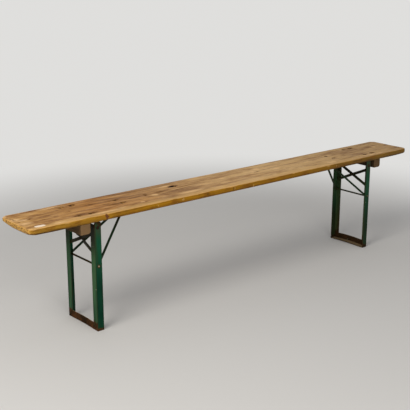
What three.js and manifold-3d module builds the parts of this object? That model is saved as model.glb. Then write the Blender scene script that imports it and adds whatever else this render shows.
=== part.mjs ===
// A folding bench: one long plank carried by two leg frames that fold flat under it.
// Lengths are in millimetres and angles in radians. X runs along the plank, Y across it and Z up.
// The floor is at zero height, and the middle of the plank is above the origin.

import * as THREE from "three";
import { mergeVertices } from "three/addons/utils/BufferGeometryUtils.js";
import Module from "manifold-3d";

// Clearances
const fitGap = 0.3; // between two pieces that touch on the real bench
const hingePlay = 0.5; // between a hinge bracket and the leg that turns beside it
const catchPlay = 0.6; // between the bow's top bar and the catch that holds it
const cutOverrun = 1; // how far a cutting tool runs past the face that it opens

// Plank
const seatHeight = 480;
const plankLength = 2200;
const plankWidth = 230;
const plankThickness = 25;
const plankCornerRadius = 27;
const plankEdgeRadius = 5;

// Cross battens under the plank, outside the leg frames
const battenWidth = 44;
const battenDepth = 40;
const battenEndInset = 1.5; // how far each end stays inside the plank's edge
const battenRounding = 11;
const battenChamfer = 2;
const battenOffset = 36; // from the hinge axis to the batten's near face

// Hinges
const hingeInset = 295; // from the plank's end to the hinge axis
const hingeDrop = 25; // from the plank's underside to the hinge axis
const bracketThickness = 3;
const bracketEarRadius = 11;
const bracketInnerReach = 17; // the bracket's foot, from the hinge axis towards the middle
const bracketBoltOffset = 8; // from the hinge axis to the bolt, towards the batten
const bracketBoltInset = 34; // from the ear's outer face to the bolt
const bracketFootMargin = 12; // from the bolt's centre to the foot's inner edge
const bracketCornerRadius = 6;

// Angle iron of the leg frames
const frameInset = 7; // from the plank's edge to the frame's outer face
const angleFlange = 30;
const angleThickness = 3;
const legTopGap = 1; // from the leg's rounded top to the plank
const endFlangeDrop = 12; // from the plank's underside to the top of the end flange
const footArchRise = 3;

// Axle rod across the legs, which carries the bow
const axleDiameter = 8;
const axleHeadDiameter = 14;
const axleHeadHeight = 2.6;

// Cross brace of two flat bars
const braceWidth = 14;
const braceThickness = 4;
const braceDrop = 66; // from the hinge axis to where the bars cross
const braceRise = 84; // the climb of a bar between the middles of the two end flanges
const braceEndInset = 3; // from a bar's end to the side flange
const braceJogRun = 9; // the slope of the stepped bar, at each side of the other one

// Rivets of the frame
const rivetDiameter = 8;
const rivetHeadDiameter = 15;
const rivetHeadHeight = 2.6;
const braceRivetDiameter = 6;
const braceRivetHeadDiameter = 10;
const braceRivetHeadHeight = 2;

// Bow of round bar that props a leg frame against the plank
const bowLean = THREE.MathUtils.degToRad(44); // of the propped bow, above level
const bowDiameter = 10;
const bowTopWidth = 28; // between the corners of the top bar
const bowBendRadius = 12;
const bowEyeRadius = 10;
const bowEyeThickness = 8;
const bowEyeInset = 1; // from an eye to the side flange
const bowFootClearance = 20; // from the folded bow's axis to the floor side of the foot bar

// Spring catch that holds the bow's top bar
const catchPlateThickness = 2.5;
const catchPlateHalfWidth = 36;
const catchPlateInnerReach = 24; // from the top bar towards the middle of the bench
const catchPlateOuterReach = 42; // from the top bar towards the hinge
const catchPlateCornerRadius = 8;
const catchBoltOffset = 9; // from the top bar towards the hinge
const catchBoltHalfSpacing = 25;
const catchLugWidth = 12;
const catchLugThickness = 2.5;
const leafWidth = 14;
const leafThickness = 1.2;
const leafRootStart = 22; // from the top bar to where the leaf leaves the plate
const leafRootLength = 17;
const leafLevelEnd = 12; // from the top bar to where the leaf's level part starts to climb
const leafLipRise = 8;
const leafTabReach = 16;
const leafTabDrop = 10;
const leafRivetOffset = 31;
const leafRivetDiameter = 4;
const leafRivetHeadDiameter = 8;
const leafRivetHeadHeight = 1.6;

// Bolts with low domed heads, and their nuts
const boltDiameter = 6;
const boltHeadDiameter = 16;
const boltHeadHeight = 3;
const boltHeadSink = 0.4; // from the plank's top to the crown of a head
const boltTail = 1.5; // how far a bolt runs past its nut
const nutWidth = 10; // across flats
const nutHeight = 5;

// Facets. An arc drawn in an outline gets twice as many as its steps.
const roundSides = 16;
const smallSides = 10;
const arcSteps = 4;
const rodSectionSteps = 6;
const edgeSteps = 3;
const domeSteps = 3;
const bendSteps = 4;
const archSteps = 12;

// Places worked out from the sizes
const plankUnderside = seatHeight - plankThickness;
const hingeX = plankLength / 2 - hingeInset;
const hingeHeight = plankUnderside - hingeDrop;
const frameHalf = plankWidth / 2 - frameInset;
const sideFlangeInner = frameHalf - angleThickness;
const endFlangeOuter = angleFlange / 2;
const endFlangeInner = endFlangeOuter - angleThickness;
const plateUnderside = plankUnderside - fitGap - catchPlateThickness;
const bracketUnderside = plankUnderside - fitGap - bracketThickness;
const bowBarHeight = plateUnderside - fitGap - bowDiameter / 2;
const bowSine = Math.sin(bowLean);
const bowLength = (bowBarHeight - bowFootClearance) / (1 + bowSine);
const axleHeight = bowLength + bowFootClearance;
const catchX = hingeX - bowLength * Math.cos(bowLean);
const earOuter = sideFlangeInner - hingePlay;
const boltRowY = earOuter - bracketBoltInset;
const battenX = hingeX + battenOffset + battenWidth / 2;
const battenTop = plankUnderside - fitGap;
const battenUnderside = battenTop - battenDepth;

const wasm = await Module();
wasm.setup();

// Turns a closed geometry into a solid that can be cut and joined.
function solidOf(geometry) {
  const bare = geometry.clone();
  bare.deleteAttribute("normal");
  bare.deleteAttribute("uv");
  const merged = mergeVertices(bare);
  const mesh = new wasm.Mesh({
    numProp: 3,
    vertProperties: merged.attributes.position.array,
    triVerts: new Uint32Array(merged.index.array),
  });
  return new wasm.Manifold(mesh);
}

function geometryOf(solid) {
  const mesh = solid.getMesh();
  const geometry = new THREE.BufferGeometry();
  geometry.setAttribute("position", new THREE.BufferAttribute(mesh.vertProperties, 3));
  geometry.setIndex(new THREE.BufferAttribute(mesh.triVerts, 1));
  return geometry;
}

function joined(geometries) {
  const solids = geometries.map(solidOf);
  return geometryOf(solids.reduce((whole, solid) => whole.add(solid)));
}

function cut(geometry, cutters) {
  const solids = cutters.map(solidOf);
  return geometryOf(solids.reduce((whole, cutter) => whole.subtract(cutter), solidOf(geometry)));
}

const alongX = new THREE.Vector3(1, 0, 0);
const alongY = new THREE.Vector3(0, 1, 0);
const alongZ = new THREE.Vector3(0, 0, 1);

// Extrudes an outline drawn across two directions along the third, from zero to depth.
function extruded(outline, depth, across, up, steps = arcSteps) {
  const geometry = new THREE.ExtrudeGeometry(outline, {
    depth,
    bevelEnabled: false,
    curveSegments: steps,
  });
  const away = new THREE.Vector3().crossVectors(across, up);
  return geometry.applyMatrix4(new THREE.Matrix4().makeBasis(across, up, away));
}

// An outline in the Y-Z plane, extruded in X between two places.
function slabAlongX(outline, startX, endX, steps) {
  return extruded(outline, endX - startX, alongY, alongZ, steps).translate(startX, 0, 0);
}

// An outline in the X-Z plane, extruded in Y between two places.
function slabAlongY(outline, startY, endY, steps) {
  return extruded(outline, endY - startY, alongX, alongZ, steps).translate(0, endY, 0);
}

function cylinderAlongX(radius, startX, endX, sides = roundSides) {
  const geometry = new THREE.CylinderGeometry(radius, radius, endX - startX, sides);
  return geometry.rotateZ(Math.PI / 2).translate((startX + endX) / 2, 0, 0);
}

function cylinderAlongY(radius, startY, endY, sides = roundSides) {
  const geometry = new THREE.CylinderGeometry(radius, radius, endY - startY, sides);
  return geometry.translate(0, (startY + endY) / 2, 0);
}

function cylinderAlongZ(radius, startZ, endZ, sides = roundSides) {
  const geometry = new THREE.CylinderGeometry(radius, radius, endZ - startZ, sides);
  return geometry.rotateX(Math.PI / 2).translate(0, 0, (startZ + endZ) / 2);
}

function boxBetween(low, high) {
  const size = high.clone().sub(low);
  const middle = high.clone().add(low).divideScalar(2);
  return new THREE.BoxGeometry(size.x, size.y, size.z).translate(middle.x, middle.y, middle.z);
}

function outlineOf(points) {
  return new THREE.Shape(points.map(([across, up]) => new THREE.Vector2(across, up)));
}

// A rectangle with round corners, between two places across and two places up.
function roundedRectangle(left, right, bottom, top, radius) {
  const quarter = Math.PI / 2;
  const shape = new THREE.Shape();
  shape.absarc(right - radius, bottom + radius, radius, -quarter, 0);
  shape.absarc(right - radius, top - radius, radius, 0, quarter);
  shape.absarc(left + radius, top - radius, radius, quarter, 2 * quarter);
  shape.absarc(left + radius, bottom + radius, radius, 2 * quarter, 3 * quarter);
  shape.closePath();
  return shape;
}

// The outline of a strip of even thickness that follows a line of points.
function stripOutline(points, thickness) {
  const line = points.map(([across, up]) => new THREE.Vector2(across, up));
  const sides = [[], []];
  line.forEach((point, index) => {
    const before = line[Math.max(index - 1, 0)];
    const after = line[Math.min(index + 1, line.length - 1)];
    const into = (index > 0 ? point.clone().sub(before) : after.clone().sub(point)).normalize();
    const outOf = (after !== point ? after.clone().sub(point) : into.clone()).normalize();
    const bisector = into.clone().add(outOf).normalize();
    const normal = new THREE.Vector2(-bisector.y, bisector.x);
    const reach = thickness / 2 / bisector.dot(into);
    sides[0].push(point.clone().addScaledVector(normal, -reach));
    sides[1].unshift(point.clone().addScaledVector(normal, reach));
  });
  return new THREE.Shape(sides.flat());
}

// Replaces each inner corner of a line of points by an arc of one radius.
function filletedLine(points, radius, steps) {
  const line = [points[0]];
  for (let index = 1; index < points.length - 1; index++) {
    const corner = points[index];
    const back = points[index - 1].clone().sub(corner).normalize();
    const ahead = points[index + 1].clone().sub(corner).normalize();
    const halfAngle = back.angleTo(ahead) / 2;
    const inward = back.clone().add(ahead).normalize();
    const centre = corner.clone().addScaledVector(inward, radius / Math.sin(halfAngle));
    const start = corner.clone().addScaledVector(back, radius / Math.tan(halfAngle)).sub(centre);
    const turnAxis = new THREE.Vector3().crossVectors(ahead, back).normalize();
    for (let step = 0; step <= steps; step++) {
      const turn = ((Math.PI - 2 * halfAngle) * step) / steps;
      line.push(start.clone().applyAxisAngle(turnAxis, turn).add(centre));
    }
  }
  line.push(points[points.length - 1]);
  return line;
}

// A rod's centre line through given points, with one step of the sweep to each stretch.
class RodLine extends THREE.Curve {
  constructor(points) {
    super();
    this.points = points;
  }

  getPoint(share, target = new THREE.Vector3()) {
    const place = share * (this.points.length - 1);
    const index = Math.min(Math.floor(place), this.points.length - 2);
    return target.lerpVectors(this.points[index], this.points[index + 1], place - index);
  }

  getUtoTmapping(share) {
    return share;
  }
}

function rodThrough(points, radius) {
  const section = new THREE.Shape().absarc(0, 0, radius, 0, 2 * Math.PI);
  return new THREE.ExtrudeGeometry(section, {
    steps: points.length - 1,
    extrudePath: new RodLine(points),
    curveSegments: rodSectionSteps,
  });
}

// A round piece turned about Z, from [radius, height] points that run upwards.
function turned(profile, sides = roundSides) {
  const points = profile.map(([radius, height]) => new THREE.Vector2(radius, height));
  return new THREE.LatheGeometry(points, sides).rotateX(Math.PI / 2);
}

// Points of a low dome, from its rim up to its crown on the axis.
function domePoints(radius, rimHeight, crownHeight) {
  const points = [];
  for (let step = 0; step <= domeSteps; step++) {
    const angle = ((Math.PI / 2) * step) / domeSteps;
    const fromAxis = step < domeSteps ? radius * Math.cos(angle) : 0;
    points.push([fromAxis, rimHeight + (crownHeight - rimHeight) * Math.sin(angle)]);
  }
  return points;
}

// A rivet or a rod along Z with a domed head past each of two faces.
function headedPin(radius, headRadius, headHeight, lowFace, highFace, sides = roundSides) {
  const lowHead = domePoints(headRadius, lowFace - fitGap, lowFace - fitGap - headHeight);
  const highHead = domePoints(headRadius, highFace + fitGap, highFace + fitGap + headHeight);
  const shank = [
    [radius, lowFace - fitGap],
    [radius, highFace + fitGap],
  ];
  return turned([...lowHead.reverse(), ...shank, ...highHead], sides);
}

const group = new THREE.Group();

function piece(name, geometry, finish) {
  const mesh = new THREE.Mesh(geometry, new THREE.MeshStandardMaterial(finish));
  mesh.name = name;
  return mesh;
}

const lacqueredWood = { color: 0xb08a55, roughness: 0.55, metalness: 0 };
const bareWood = { color: 0x8a7458, roughness: 0.8, metalness: 0 };
const greenPaint = { color: 0x1c4a38, roughness: 0.45, metalness: 0.1 };
const rustedIron = { color: 0x4f3526, roughness: 0.8, metalness: 0.3 };
const darkSteel = { color: 0x3a3633, roughness: 0.55, metalness: 0.7 };
const springSteel = { color: 0x55534f, roughness: 0.4, metalness: 0.9 };

const benchEnds = [
  { name: "left", side: -1 },
  { name: "right", side: 1 },
];
const frontAndBack = [
  { name: "front", side: -1 },
  { name: "back", side: 1 },
];

// Every bolt that comes up through the plank, with the underside of what it clamps.
const boltPlaces = [];
for (const end of benchEnds) {
  for (const edge of frontAndBack) {
    boltPlaces.push({
      name: `${end.name}_${edge.name}_hinge`,
      x: end.side * (hingeX + bracketBoltOffset),
      y: edge.side * boltRowY,
      clampedTo: bracketUnderside,
    });
    boltPlaces.push({
      name: `${end.name}_${edge.name}_batten`,
      x: end.side * battenX,
      y: edge.side * boltRowY,
      clampedTo: battenUnderside,
    });
    boltPlaces.push({
      name: `${end.name}_${edge.name}_catch`,
      x: end.side * (catchX + catchBoltOffset),
      y: edge.side * catchBoltHalfSpacing,
      clampedTo: plateUnderside,
    });
  }
}

function boltHoles(bottom, top) {
  const radius = boltDiameter / 2 + fitGap;
  const hole = cylinderAlongZ(radius, bottom - cutOverrun, top + cutOverrun, smallSides);
  return boltPlaces.map((bolt) => hole.clone().translate(bolt.x, bolt.y, 0));
}

function plank() {
  const inset = plankEdgeRadius;
  const reach = plankLength / 2 - inset;
  const half = plankWidth / 2 - inset;
  const outline = roundedRectangle(-reach, reach, -half, half, plankCornerRadius - inset);
  const board = new THREE.ExtrudeGeometry(outline, {
    depth: plankThickness - 2 * inset,
    bevelEnabled: true,
    bevelThickness: inset,
    bevelSize: inset,
    bevelSegments: edgeSteps,
    curveSegments: arcSteps,
  }).translate(0, 0, plankUnderside + inset);
  const recessFloor = seatHeight - boltHeadSink - boltHeadHeight - fitGap;
  const recess = cylinderAlongZ(
    boltHeadDiameter / 2 + fitGap,
    recessFloor,
    seatHeight + cutOverrun,
  );
  const recesses = boltPlaces.map((bolt) => recess.clone().translate(bolt.x, bolt.y, 0));
  return cut(board, [...boltHoles(plankUnderside, seatHeight), ...recesses]);
}

group.add(piece("seat_board", plank(), lacqueredWood));

// Both battens have their rounded lower edge on the same side, as they were sawn from one bar.
function batten(middleX) {
  const low = battenUnderside;
  const left = middleX - battenWidth / 2;
  const right = middleX + battenWidth / 2;
  const outline = new THREE.Shape();
  outline.moveTo(left + battenChamfer, low);
  outline.absarc(right - battenRounding, low + battenRounding, battenRounding, -Math.PI / 2, 0);
  outline.lineTo(right, battenTop);
  outline.lineTo(left, battenTop);
  outline.lineTo(left, low + battenChamfer);
  outline.closePath();
  const half = plankWidth / 2 - battenEndInset;
  return cut(slabAlongY(outline, -half, half), boltHoles(battenUnderside, battenTop));
}

for (const end of benchEnds) {
  group.add(piece(`${end.name}_batten`, batten(end.side * battenX), bareWood));
}

// A bolt's shank follows its clamped thickness, so its own height is zero at the plank's top.
function bolt(clampedTo) {
  const crown = seatHeight - boltHeadSink;
  const headUnderside = crown - boltHeadHeight;
  const rim = headUnderside + boltHeadHeight / 3;
  const tip = clampedTo - fitGap - nutHeight - boltTail;
  const radius = boltDiameter / 2;
  return turned([
    [0, tip],
    [radius, tip],
    [radius, headUnderside],
    [boltHeadDiameter / 2, headUnderside],
    ...domePoints(boltHeadDiameter / 2, rim, crown),
  ]);
}

function nut(clampedTo) {
  const top = clampedTo - fitGap;
  const outline = new THREE.Shape();
  const cornerRadius = nutWidth / 2 / Math.cos(Math.PI / 6);
  for (let corner = 0; corner < 6; corner++) {
    const angle = (Math.PI / 3) * corner;
    outline[corner ? "lineTo" : "moveTo"](
      cornerRadius * Math.cos(angle),
      cornerRadius * Math.sin(angle),
    );
  }
  outline.closePath();
  const hexagon = extruded(outline, nutHeight, alongX, alongY).translate(0, 0, top - nutHeight);
  const hole = cylinderAlongZ(
    boltDiameter / 2 + fitGap,
    top - nutHeight - cutOverrun,
    top + cutOverrun,
    smallSides,
  );
  return cut(hexagon, [hole]);
}

for (const place of boltPlaces) {
  const boltMesh = piece(`${place.name}_bolt`, bolt(place.clampedTo), darkSteel);
  const nutMesh = piece(`${place.name}_nut`, nut(place.clampedTo), darkSteel);
  boltMesh.position.set(place.x, place.y, 0);
  nutMesh.position.set(place.x, place.y, 0);
  group.add(boltMesh, nutMesh);
}

// A hinge bracket about its hinge axis: an ear that hangs beside the leg, bent from a foot plate.
// Its foot butts against the batten, which keeps it from turning on its one bolt.
function hingeBracket() {
  const earTop = hingeDrop - fitGap;
  const ear = new THREE.Shape();
  ear.absarc(0, 0, bracketEarRadius, Math.PI, 2 * Math.PI);
  ear.lineTo(bracketEarRadius, earTop);
  ear.lineTo(-bracketEarRadius, earTop);
  ear.closePath();
  const footInner = boltRowY - bracketFootMargin;
  const foot = roundedRectangle(
    -bracketInnerReach,
    battenOffset - fitGap,
    footInner,
    earOuter,
    bracketCornerRadius,
  );
  const whole = joined([
    slabAlongY(ear, earOuter - bracketThickness, earOuter),
    extruded(foot, bracketThickness, alongX, alongY).translate(0, 0, earTop - bracketThickness),
  ]);
  const pinHole = cylinderAlongY(
    rivetDiameter / 2 + fitGap,
    earOuter - bracketThickness - cutOverrun,
    earOuter + cutOverrun,
    smallSides,
  );
  const boltHole = cylinderAlongZ(
    boltDiameter / 2 + fitGap,
    earTop - bracketThickness - cutOverrun,
    earTop + cutOverrun,
    smallSides,
  ).translate(bracketBoltOffset, boltRowY, 0);
  return cut(whole, [pinHole, boltHole]);
}

// A hinge rivet about the hinge axis, from the leg's outer face to the ear's inner face.
function hingeRivet() {
  const rivet = headedPin(
    rivetDiameter / 2,
    rivetHeadDiameter / 2,
    rivetHeadHeight,
    earOuter - bracketThickness,
    frameHalf,
  );
  return rivet.rotateX(-Math.PI / 2);
}

// A leg about the hinge axis: angle iron with its corner outwards, mitred where it meets the foot.
function leg() {
  const floor = -hingeHeight;
  const topRadius = hingeDrop - legTopGap;
  const cornerAngle = Math.acos(endFlangeOuter / topRadius);
  const side = new THREE.Shape();
  side.moveTo(-endFlangeOuter, floor);
  side.lineTo(endFlangeOuter, floor);
  side.absarc(0, 0, topRadius, cornerAngle, Math.PI - cornerAngle);
  side.closePath();
  const end = outlineOf([
    [frameHalf - angleFlange, floor],
    [frameHalf, floor],
    [frameHalf, hingeDrop - endFlangeDrop],
    [frameHalf - angleFlange, hingeDrop - endFlangeDrop],
  ]);
  const angleIron = joined([
    slabAlongY(side, sideFlangeInner, frameHalf),
    slabAlongX(end, endFlangeInner, endFlangeOuter),
  ]);
  const mitreLift = fitGap * Math.SQRT2;
  const mitre = outlineOf([
    [frameHalf - angleFlange - cutOverrun, floor - cutOverrun],
    [frameHalf + cutOverrun, floor - cutOverrun],
    [frameHalf + cutOverrun, floor - cutOverrun + mitreLift],
    [frameHalf - angleFlange - cutOverrun, floor + angleFlange + cutOverrun + mitreLift],
  ]);
  const reach = endFlangeOuter + cutOverrun;
  const pinStart = sideFlangeInner - cutOverrun;
  const pinEnd = frameHalf + cutOverrun;
  const rivetHole = cylinderAlongY(rivetDiameter / 2 + fitGap, pinStart, pinEnd);
  const axleHole = cylinderAlongY(axleDiameter / 2 + fitGap, pinStart, pinEnd);
  return cut(angleIron, [
    slabAlongX(mitre, -reach, reach),
    rivetHole,
    axleHole.translate(0, 0, axleHeight - hingeHeight),
  ]);
}

// A band of even height over the foot bar's shallow arch, with both ends mitred. It stands flat
// on the floor under the legs and rises between them.
function archBand(height) {
  const flatStart = frameHalf - angleFlange;
  const band = new THREE.Shape();
  band.moveTo(-frameHalf, 0);
  band.lineTo(-flatStart, 0);
  band.quadraticCurveTo(0, 2 * footArchRise, flatStart, 0);
  band.lineTo(frameHalf, 0);
  band.lineTo(frameHalf - height, height);
  band.lineTo(flatStart, height);
  band.quadraticCurveTo(0, height + 2 * footArchRise, -flatStart, height);
  band.lineTo(height - frameHalf, height);
  band.closePath();
  return band;
}

// The foot bar about the hinge axis, of the same angle iron as the legs.
function footBar() {
  const upright = slabAlongX(archBand(angleFlange), endFlangeInner, endFlangeOuter, archSteps);
  const sole = slabAlongX(archBand(angleThickness), -endFlangeOuter, endFlangeOuter, archSteps);
  return joined([upright, sole]).translate(0, 0, -hingeHeight);
}

const braceSlope = Math.atan2(braceRise, 2 * frameHalf - angleFlange);
const braceLayer = endFlangeInner - fitGap; // the face of the bars that lies on the end flanges
const braceJogHalf = braceWidth / 2 / Math.tan(braceSlope) + braceThickness / 2;
const braceHalf =
  (sideFlangeInner - braceEndInset - (braceWidth / 2) * Math.sin(braceSlope)) /
  Math.cos(braceSlope);
const braceHole = cylinderAlongX(
  braceRivetDiameter / 2 + fitGap,
  braceLayer - 2 * (braceThickness + fitGap) - cutOverrun,
  braceLayer + cutOverrun,
  smallSides,
);

// A brace bar about the point where the two bars cross. One is straight, and the other steps over
// it by its own thickness.
function braceBar(tilt, jog) {
  const middle = braceLayer - braceThickness / 2;
  const line = [
    [-braceHalf, -middle],
    [-braceJogHalf - braceJogRun, -middle],
    [-braceJogHalf, jog - middle],
    [braceJogHalf, jog - middle],
    [braceJogHalf + braceJogRun, -middle],
    [braceHalf, -middle],
  ];
  const towardsMiddle = alongX.clone().negate();
  const straight = jog ? line : [line[0], line[line.length - 1]];
  const outline = stripOutline(straight, braceThickness);
  const bar = extruded(outline, braceWidth, alongY, towardsMiddle).translate(
    0,
    0,
    -braceWidth / 2,
  );
  return cut(bar, [braceHole]).rotateX(tilt);
}

function braceRivet() {
  const rivet = headedPin(
    braceRivetDiameter / 2,
    braceRivetHeadDiameter / 2,
    braceRivetHeadHeight,
    braceLayer - 2 * braceThickness - fitGap,
    braceLayer,
    smallSides,
  );
  return rivet.rotateY(Math.PI / 2);
}

function axleRod() {
  const rod = headedPin(
    axleDiameter / 2,
    axleHeadDiameter / 2,
    axleHeadHeight,
    -frameHalf,
    frameHalf,
  );
  return rod.rotateX(Math.PI / 2);
}

// The bow about the axle rod: two arms of round bar, drawn together towards a short top bar, with
// an eye on the axle rod at each foot. It is modelled lying along -X and then leaned up.
function bow() {
  const eyeY = sideFlangeInner - bowEyeInset - bowEyeThickness / 2;
  const corners = [
    new THREE.Vector3(0, -eyeY, 0),
    new THREE.Vector3(-bowLength, -bowTopWidth / 2, 0),
    new THREE.Vector3(-bowLength, bowTopWidth / 2, 0),
    new THREE.Vector3(0, eyeY, 0),
  ];
  const centreLine = filletedLine(corners, bowBendRadius, bendSteps);
  const eyes = frontAndBack.map((edge) => {
    const eye = cylinderAlongY(bowEyeRadius, -bowEyeThickness / 2, bowEyeThickness / 2);
    return eye.translate(0, edge.side * eyeY, 0);
  });
  const bent = joined([rodThrough(centreLine, bowDiameter / 2), ...eyes]);
  const axle = cylinderAlongY(
    axleDiameter / 2 + fitGap,
    -sideFlangeInner,
    sideFlangeInner,
  );
  return cut(bent, [axle]).rotateY(bowLean);
}

// The catch plate about the bow's top bar: screwed under the plank, with a lug bent down on the
// hinge side that stops the bar.
function catchPlate() {
  const low = bowDiameter / 2 + fitGap;
  const outline = roundedRectangle(
    -catchPlateInnerReach,
    catchPlateOuterReach,
    -catchPlateHalfWidth,
    catchPlateHalfWidth,
    catchPlateCornerRadius,
  );
  const plate = extruded(outline, catchPlateThickness, alongX, alongY).translate(0, 0, low);
  const lugStart = bowDiameter / 2 + catchPlay;
  const lug = boxBetween(
    new THREE.Vector3(lugStart, -catchLugWidth / 2, -bowDiameter / 2),
    new THREE.Vector3(
      lugStart + catchLugThickness,
      catchLugWidth / 2,
      low + catchPlateThickness / 2,
    ),
  );
  const boltHole = cylinderAlongZ(
    boltDiameter / 2 + fitGap,
    low - cutOverrun,
    low + catchPlateThickness + cutOverrun,
    smallSides,
  );
  const boltHoles = frontAndBack.map((edge) =>
    boltHole.clone().translate(catchBoltOffset, edge.side * catchBoltHalfSpacing, 0),
  );
  const rivetHole = cylinderAlongZ(
    leafRivetDiameter / 2 + fitGap,
    low - cutOverrun,
    low + catchPlateThickness + cutOverrun,
    smallSides,
  ).translate(leafRivetOffset, 0, 0);
  return cut(joined([plate, lug]), [...boltHoles, rivetHole]);
}

const leafRootHeight = bowDiameter / 2 - leafThickness / 2;
const leafLevel = -bowDiameter / 2 - catchPlay - leafThickness / 2;

// The spring leaf about the bow's top bar: riveted under the plate, it drops, runs level under the
// bar, turns up in a lip on the far side and ends in a sloping finger tab.
function catchLeaf() {
  const lipX = -bowDiameter / 2 - catchPlay - leafThickness / 2;
  const lipTop = leafLevel + leafLipRise;
  const line = [
    [leafRootStart + leafRootLength, leafRootHeight],
    [leafRootStart, leafRootHeight],
    [leafLevelEnd, leafLevel],
    [lipX, leafLevel],
    [lipX - leafThickness, lipTop],
    [lipX - leafTabReach, lipTop - leafTabDrop],
  ];
  const half = leafWidth / 2;
  const leaf = slabAlongY(stripOutline(line, leafThickness), -half, half);
  const rivetHole = cylinderAlongZ(
    leafRivetDiameter / 2 + fitGap,
    leafRootHeight - leafThickness - cutOverrun,
    leafRootHeight + leafThickness + cutOverrun,
    smallSides,
  ).translate(leafRivetOffset, 0, 0);
  return cut(leaf, [rivetHole]);
}

function leafRivet() {
  const top = bowDiameter / 2 + fitGap + catchPlateThickness;
  const headTop = leafRootHeight - leafThickness / 2 - fitGap;
  const radius = leafRivetDiameter / 2;
  const head = domePoints(leafRivetHeadDiameter / 2, headTop, headTop - leafRivetHeadHeight);
  const rivet = turned([...head.reverse(), [radius, headTop], [radius, top], [0, top]], smallSides);
  return rivet.translate(leafRivetOffset, 0, 0);
}

// Everything at one end of the bench. The right end is modelled, and the left end is the same set
// of pieces turned half round, so its front and back change places.
function benchEnd(end) {
  const turn = end.side > 0 ? 0 : Math.PI;
  const edgeName = (localSide) => (localSide * end.side < 0 ? "front" : "back");

  const hingeGroup = new THREE.Group();
  hingeGroup.position.set(end.side * hingeX, 0, hingeHeight);
  hingeGroup.rotation.z = turn;
  for (const localSide of [-1, 1]) {
    const prefix = `${end.name}_${edgeName(localSide)}`;
    const mirror = new THREE.Group();
    mirror.scale.y = localSide;
    mirror.add(
      piece(`${prefix}_leg`, leg(), greenPaint),
      piece(`${prefix}_hinge_bracket`, hingeBracket(), darkSteel),
      piece(`${prefix}_hinge_rivet`, hingeRivet(), rustedIron),
    );
    hingeGroup.add(mirror);
  }
  hingeGroup.add(piece(`${end.name}_foot_bar`, footBar(), rustedIron));

  const braceGroup = new THREE.Group();
  braceGroup.position.z = -braceDrop;
  braceGroup.add(
    piece(`${end.name}_brace_bar_straight`, braceBar(braceSlope, 0), rustedIron),
    piece(
      `${end.name}_brace_bar_stepped`,
      braceBar(-braceSlope, braceThickness + fitGap),
      rustedIron,
    ),
    piece(`${end.name}_brace_rivet`, braceRivet(), rustedIron),
  );
  hingeGroup.add(braceGroup);

  const axleGroup = new THREE.Group();
  axleGroup.position.z = axleHeight - hingeHeight;
  axleGroup.add(
    piece(`${end.name}_axle_rod`, axleRod(), rustedIron),
    piece(`${end.name}_bow_strut`, bow(), greenPaint),
  );
  hingeGroup.add(axleGroup);

  const catchGroup = new THREE.Group();
  catchGroup.position.set(end.side * catchX, 0, bowBarHeight);
  catchGroup.rotation.z = turn;
  catchGroup.add(
    piece(`${end.name}_catch_plate`, catchPlate(), darkSteel),
    piece(`${end.name}_catch_leaf`, catchLeaf(), springSteel),
    piece(`${end.name}_catch_rivet`, leafRivet(), darkSteel),
  );
  group.add(hingeGroup, catchGroup);
}

for (const end of benchEnds) {
  benchEnd(end);
}

export default group;
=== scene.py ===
import math

import bmesh
import bpy
import numpy as np
from mathutils import Matrix, Vector, noise


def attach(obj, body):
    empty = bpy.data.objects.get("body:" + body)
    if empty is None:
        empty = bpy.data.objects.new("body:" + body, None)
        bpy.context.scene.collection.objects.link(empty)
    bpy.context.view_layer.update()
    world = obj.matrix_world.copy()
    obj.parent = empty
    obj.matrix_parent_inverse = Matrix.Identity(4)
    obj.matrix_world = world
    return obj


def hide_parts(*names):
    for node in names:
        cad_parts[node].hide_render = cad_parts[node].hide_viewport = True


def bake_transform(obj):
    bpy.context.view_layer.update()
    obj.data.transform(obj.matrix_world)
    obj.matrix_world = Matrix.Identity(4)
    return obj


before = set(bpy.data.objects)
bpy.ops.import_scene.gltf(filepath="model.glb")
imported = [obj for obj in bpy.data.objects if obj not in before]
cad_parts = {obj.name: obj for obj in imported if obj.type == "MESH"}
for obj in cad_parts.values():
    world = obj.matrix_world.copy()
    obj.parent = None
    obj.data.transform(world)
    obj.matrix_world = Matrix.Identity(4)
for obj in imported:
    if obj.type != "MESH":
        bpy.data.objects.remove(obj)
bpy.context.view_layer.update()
print("frame loaded:", len(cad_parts), "nodes")

# Metres and radians. X runs along the plank, Y across it, Z up from the floor.
layout = {
    "seatHeight": 0.480,
    "plankLength": 2.200,
    "plankWidth": 0.230,
    "plankThickness": 0.025,
    "hingeX": 0.805,
    "hingeHeight": 0.430,
    "frameHalf": 0.108,  # outer face of a leg
    "flange": 0.030,
    "iron": 0.003,  # thickness of the angle iron
    "axleHeight": 0.27191,
    "boltRowY": 0.0705,
    "catchX": 0.62379,
    "barHeight": 0.4469,  # middle of the bow's top bar
    "gap": 0.0003,
}
halfLength = layout["plankLength"] / 2
halfWidth = layout["plankWidth"] / 2
underside = layout["seatHeight"] - layout["plankThickness"]
sideInner = layout["frameHalf"] - layout["iron"]
halfFlange = layout["flange"] / 2
endInner = halfFlange - layout["iron"]
earOuter = sideInner - 0.0005
overrun = 0.004  # how far a cut runs past the piece
nearEdge = 0.004  # from an iron's corner to the next point of its outline
ends = (("left", -1), ("right", 1))
edges = (("front", -1), ("back", 1))

cameraSettings = {
    "place": (-2.54399, -2.81170, 1.43214),
    "yaw": 0.70045,
    "pitch": -0.27835,
    "roll": 0.0010,
    "focalPixels": 867.745,
    "imagePixels": 410,
    "sensor": 36.0,
}


def addObject(name, data):
    made = bpy.data.objects.new(name, data)
    bpy.context.scene.collection.objects.link(made)
    return made


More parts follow.
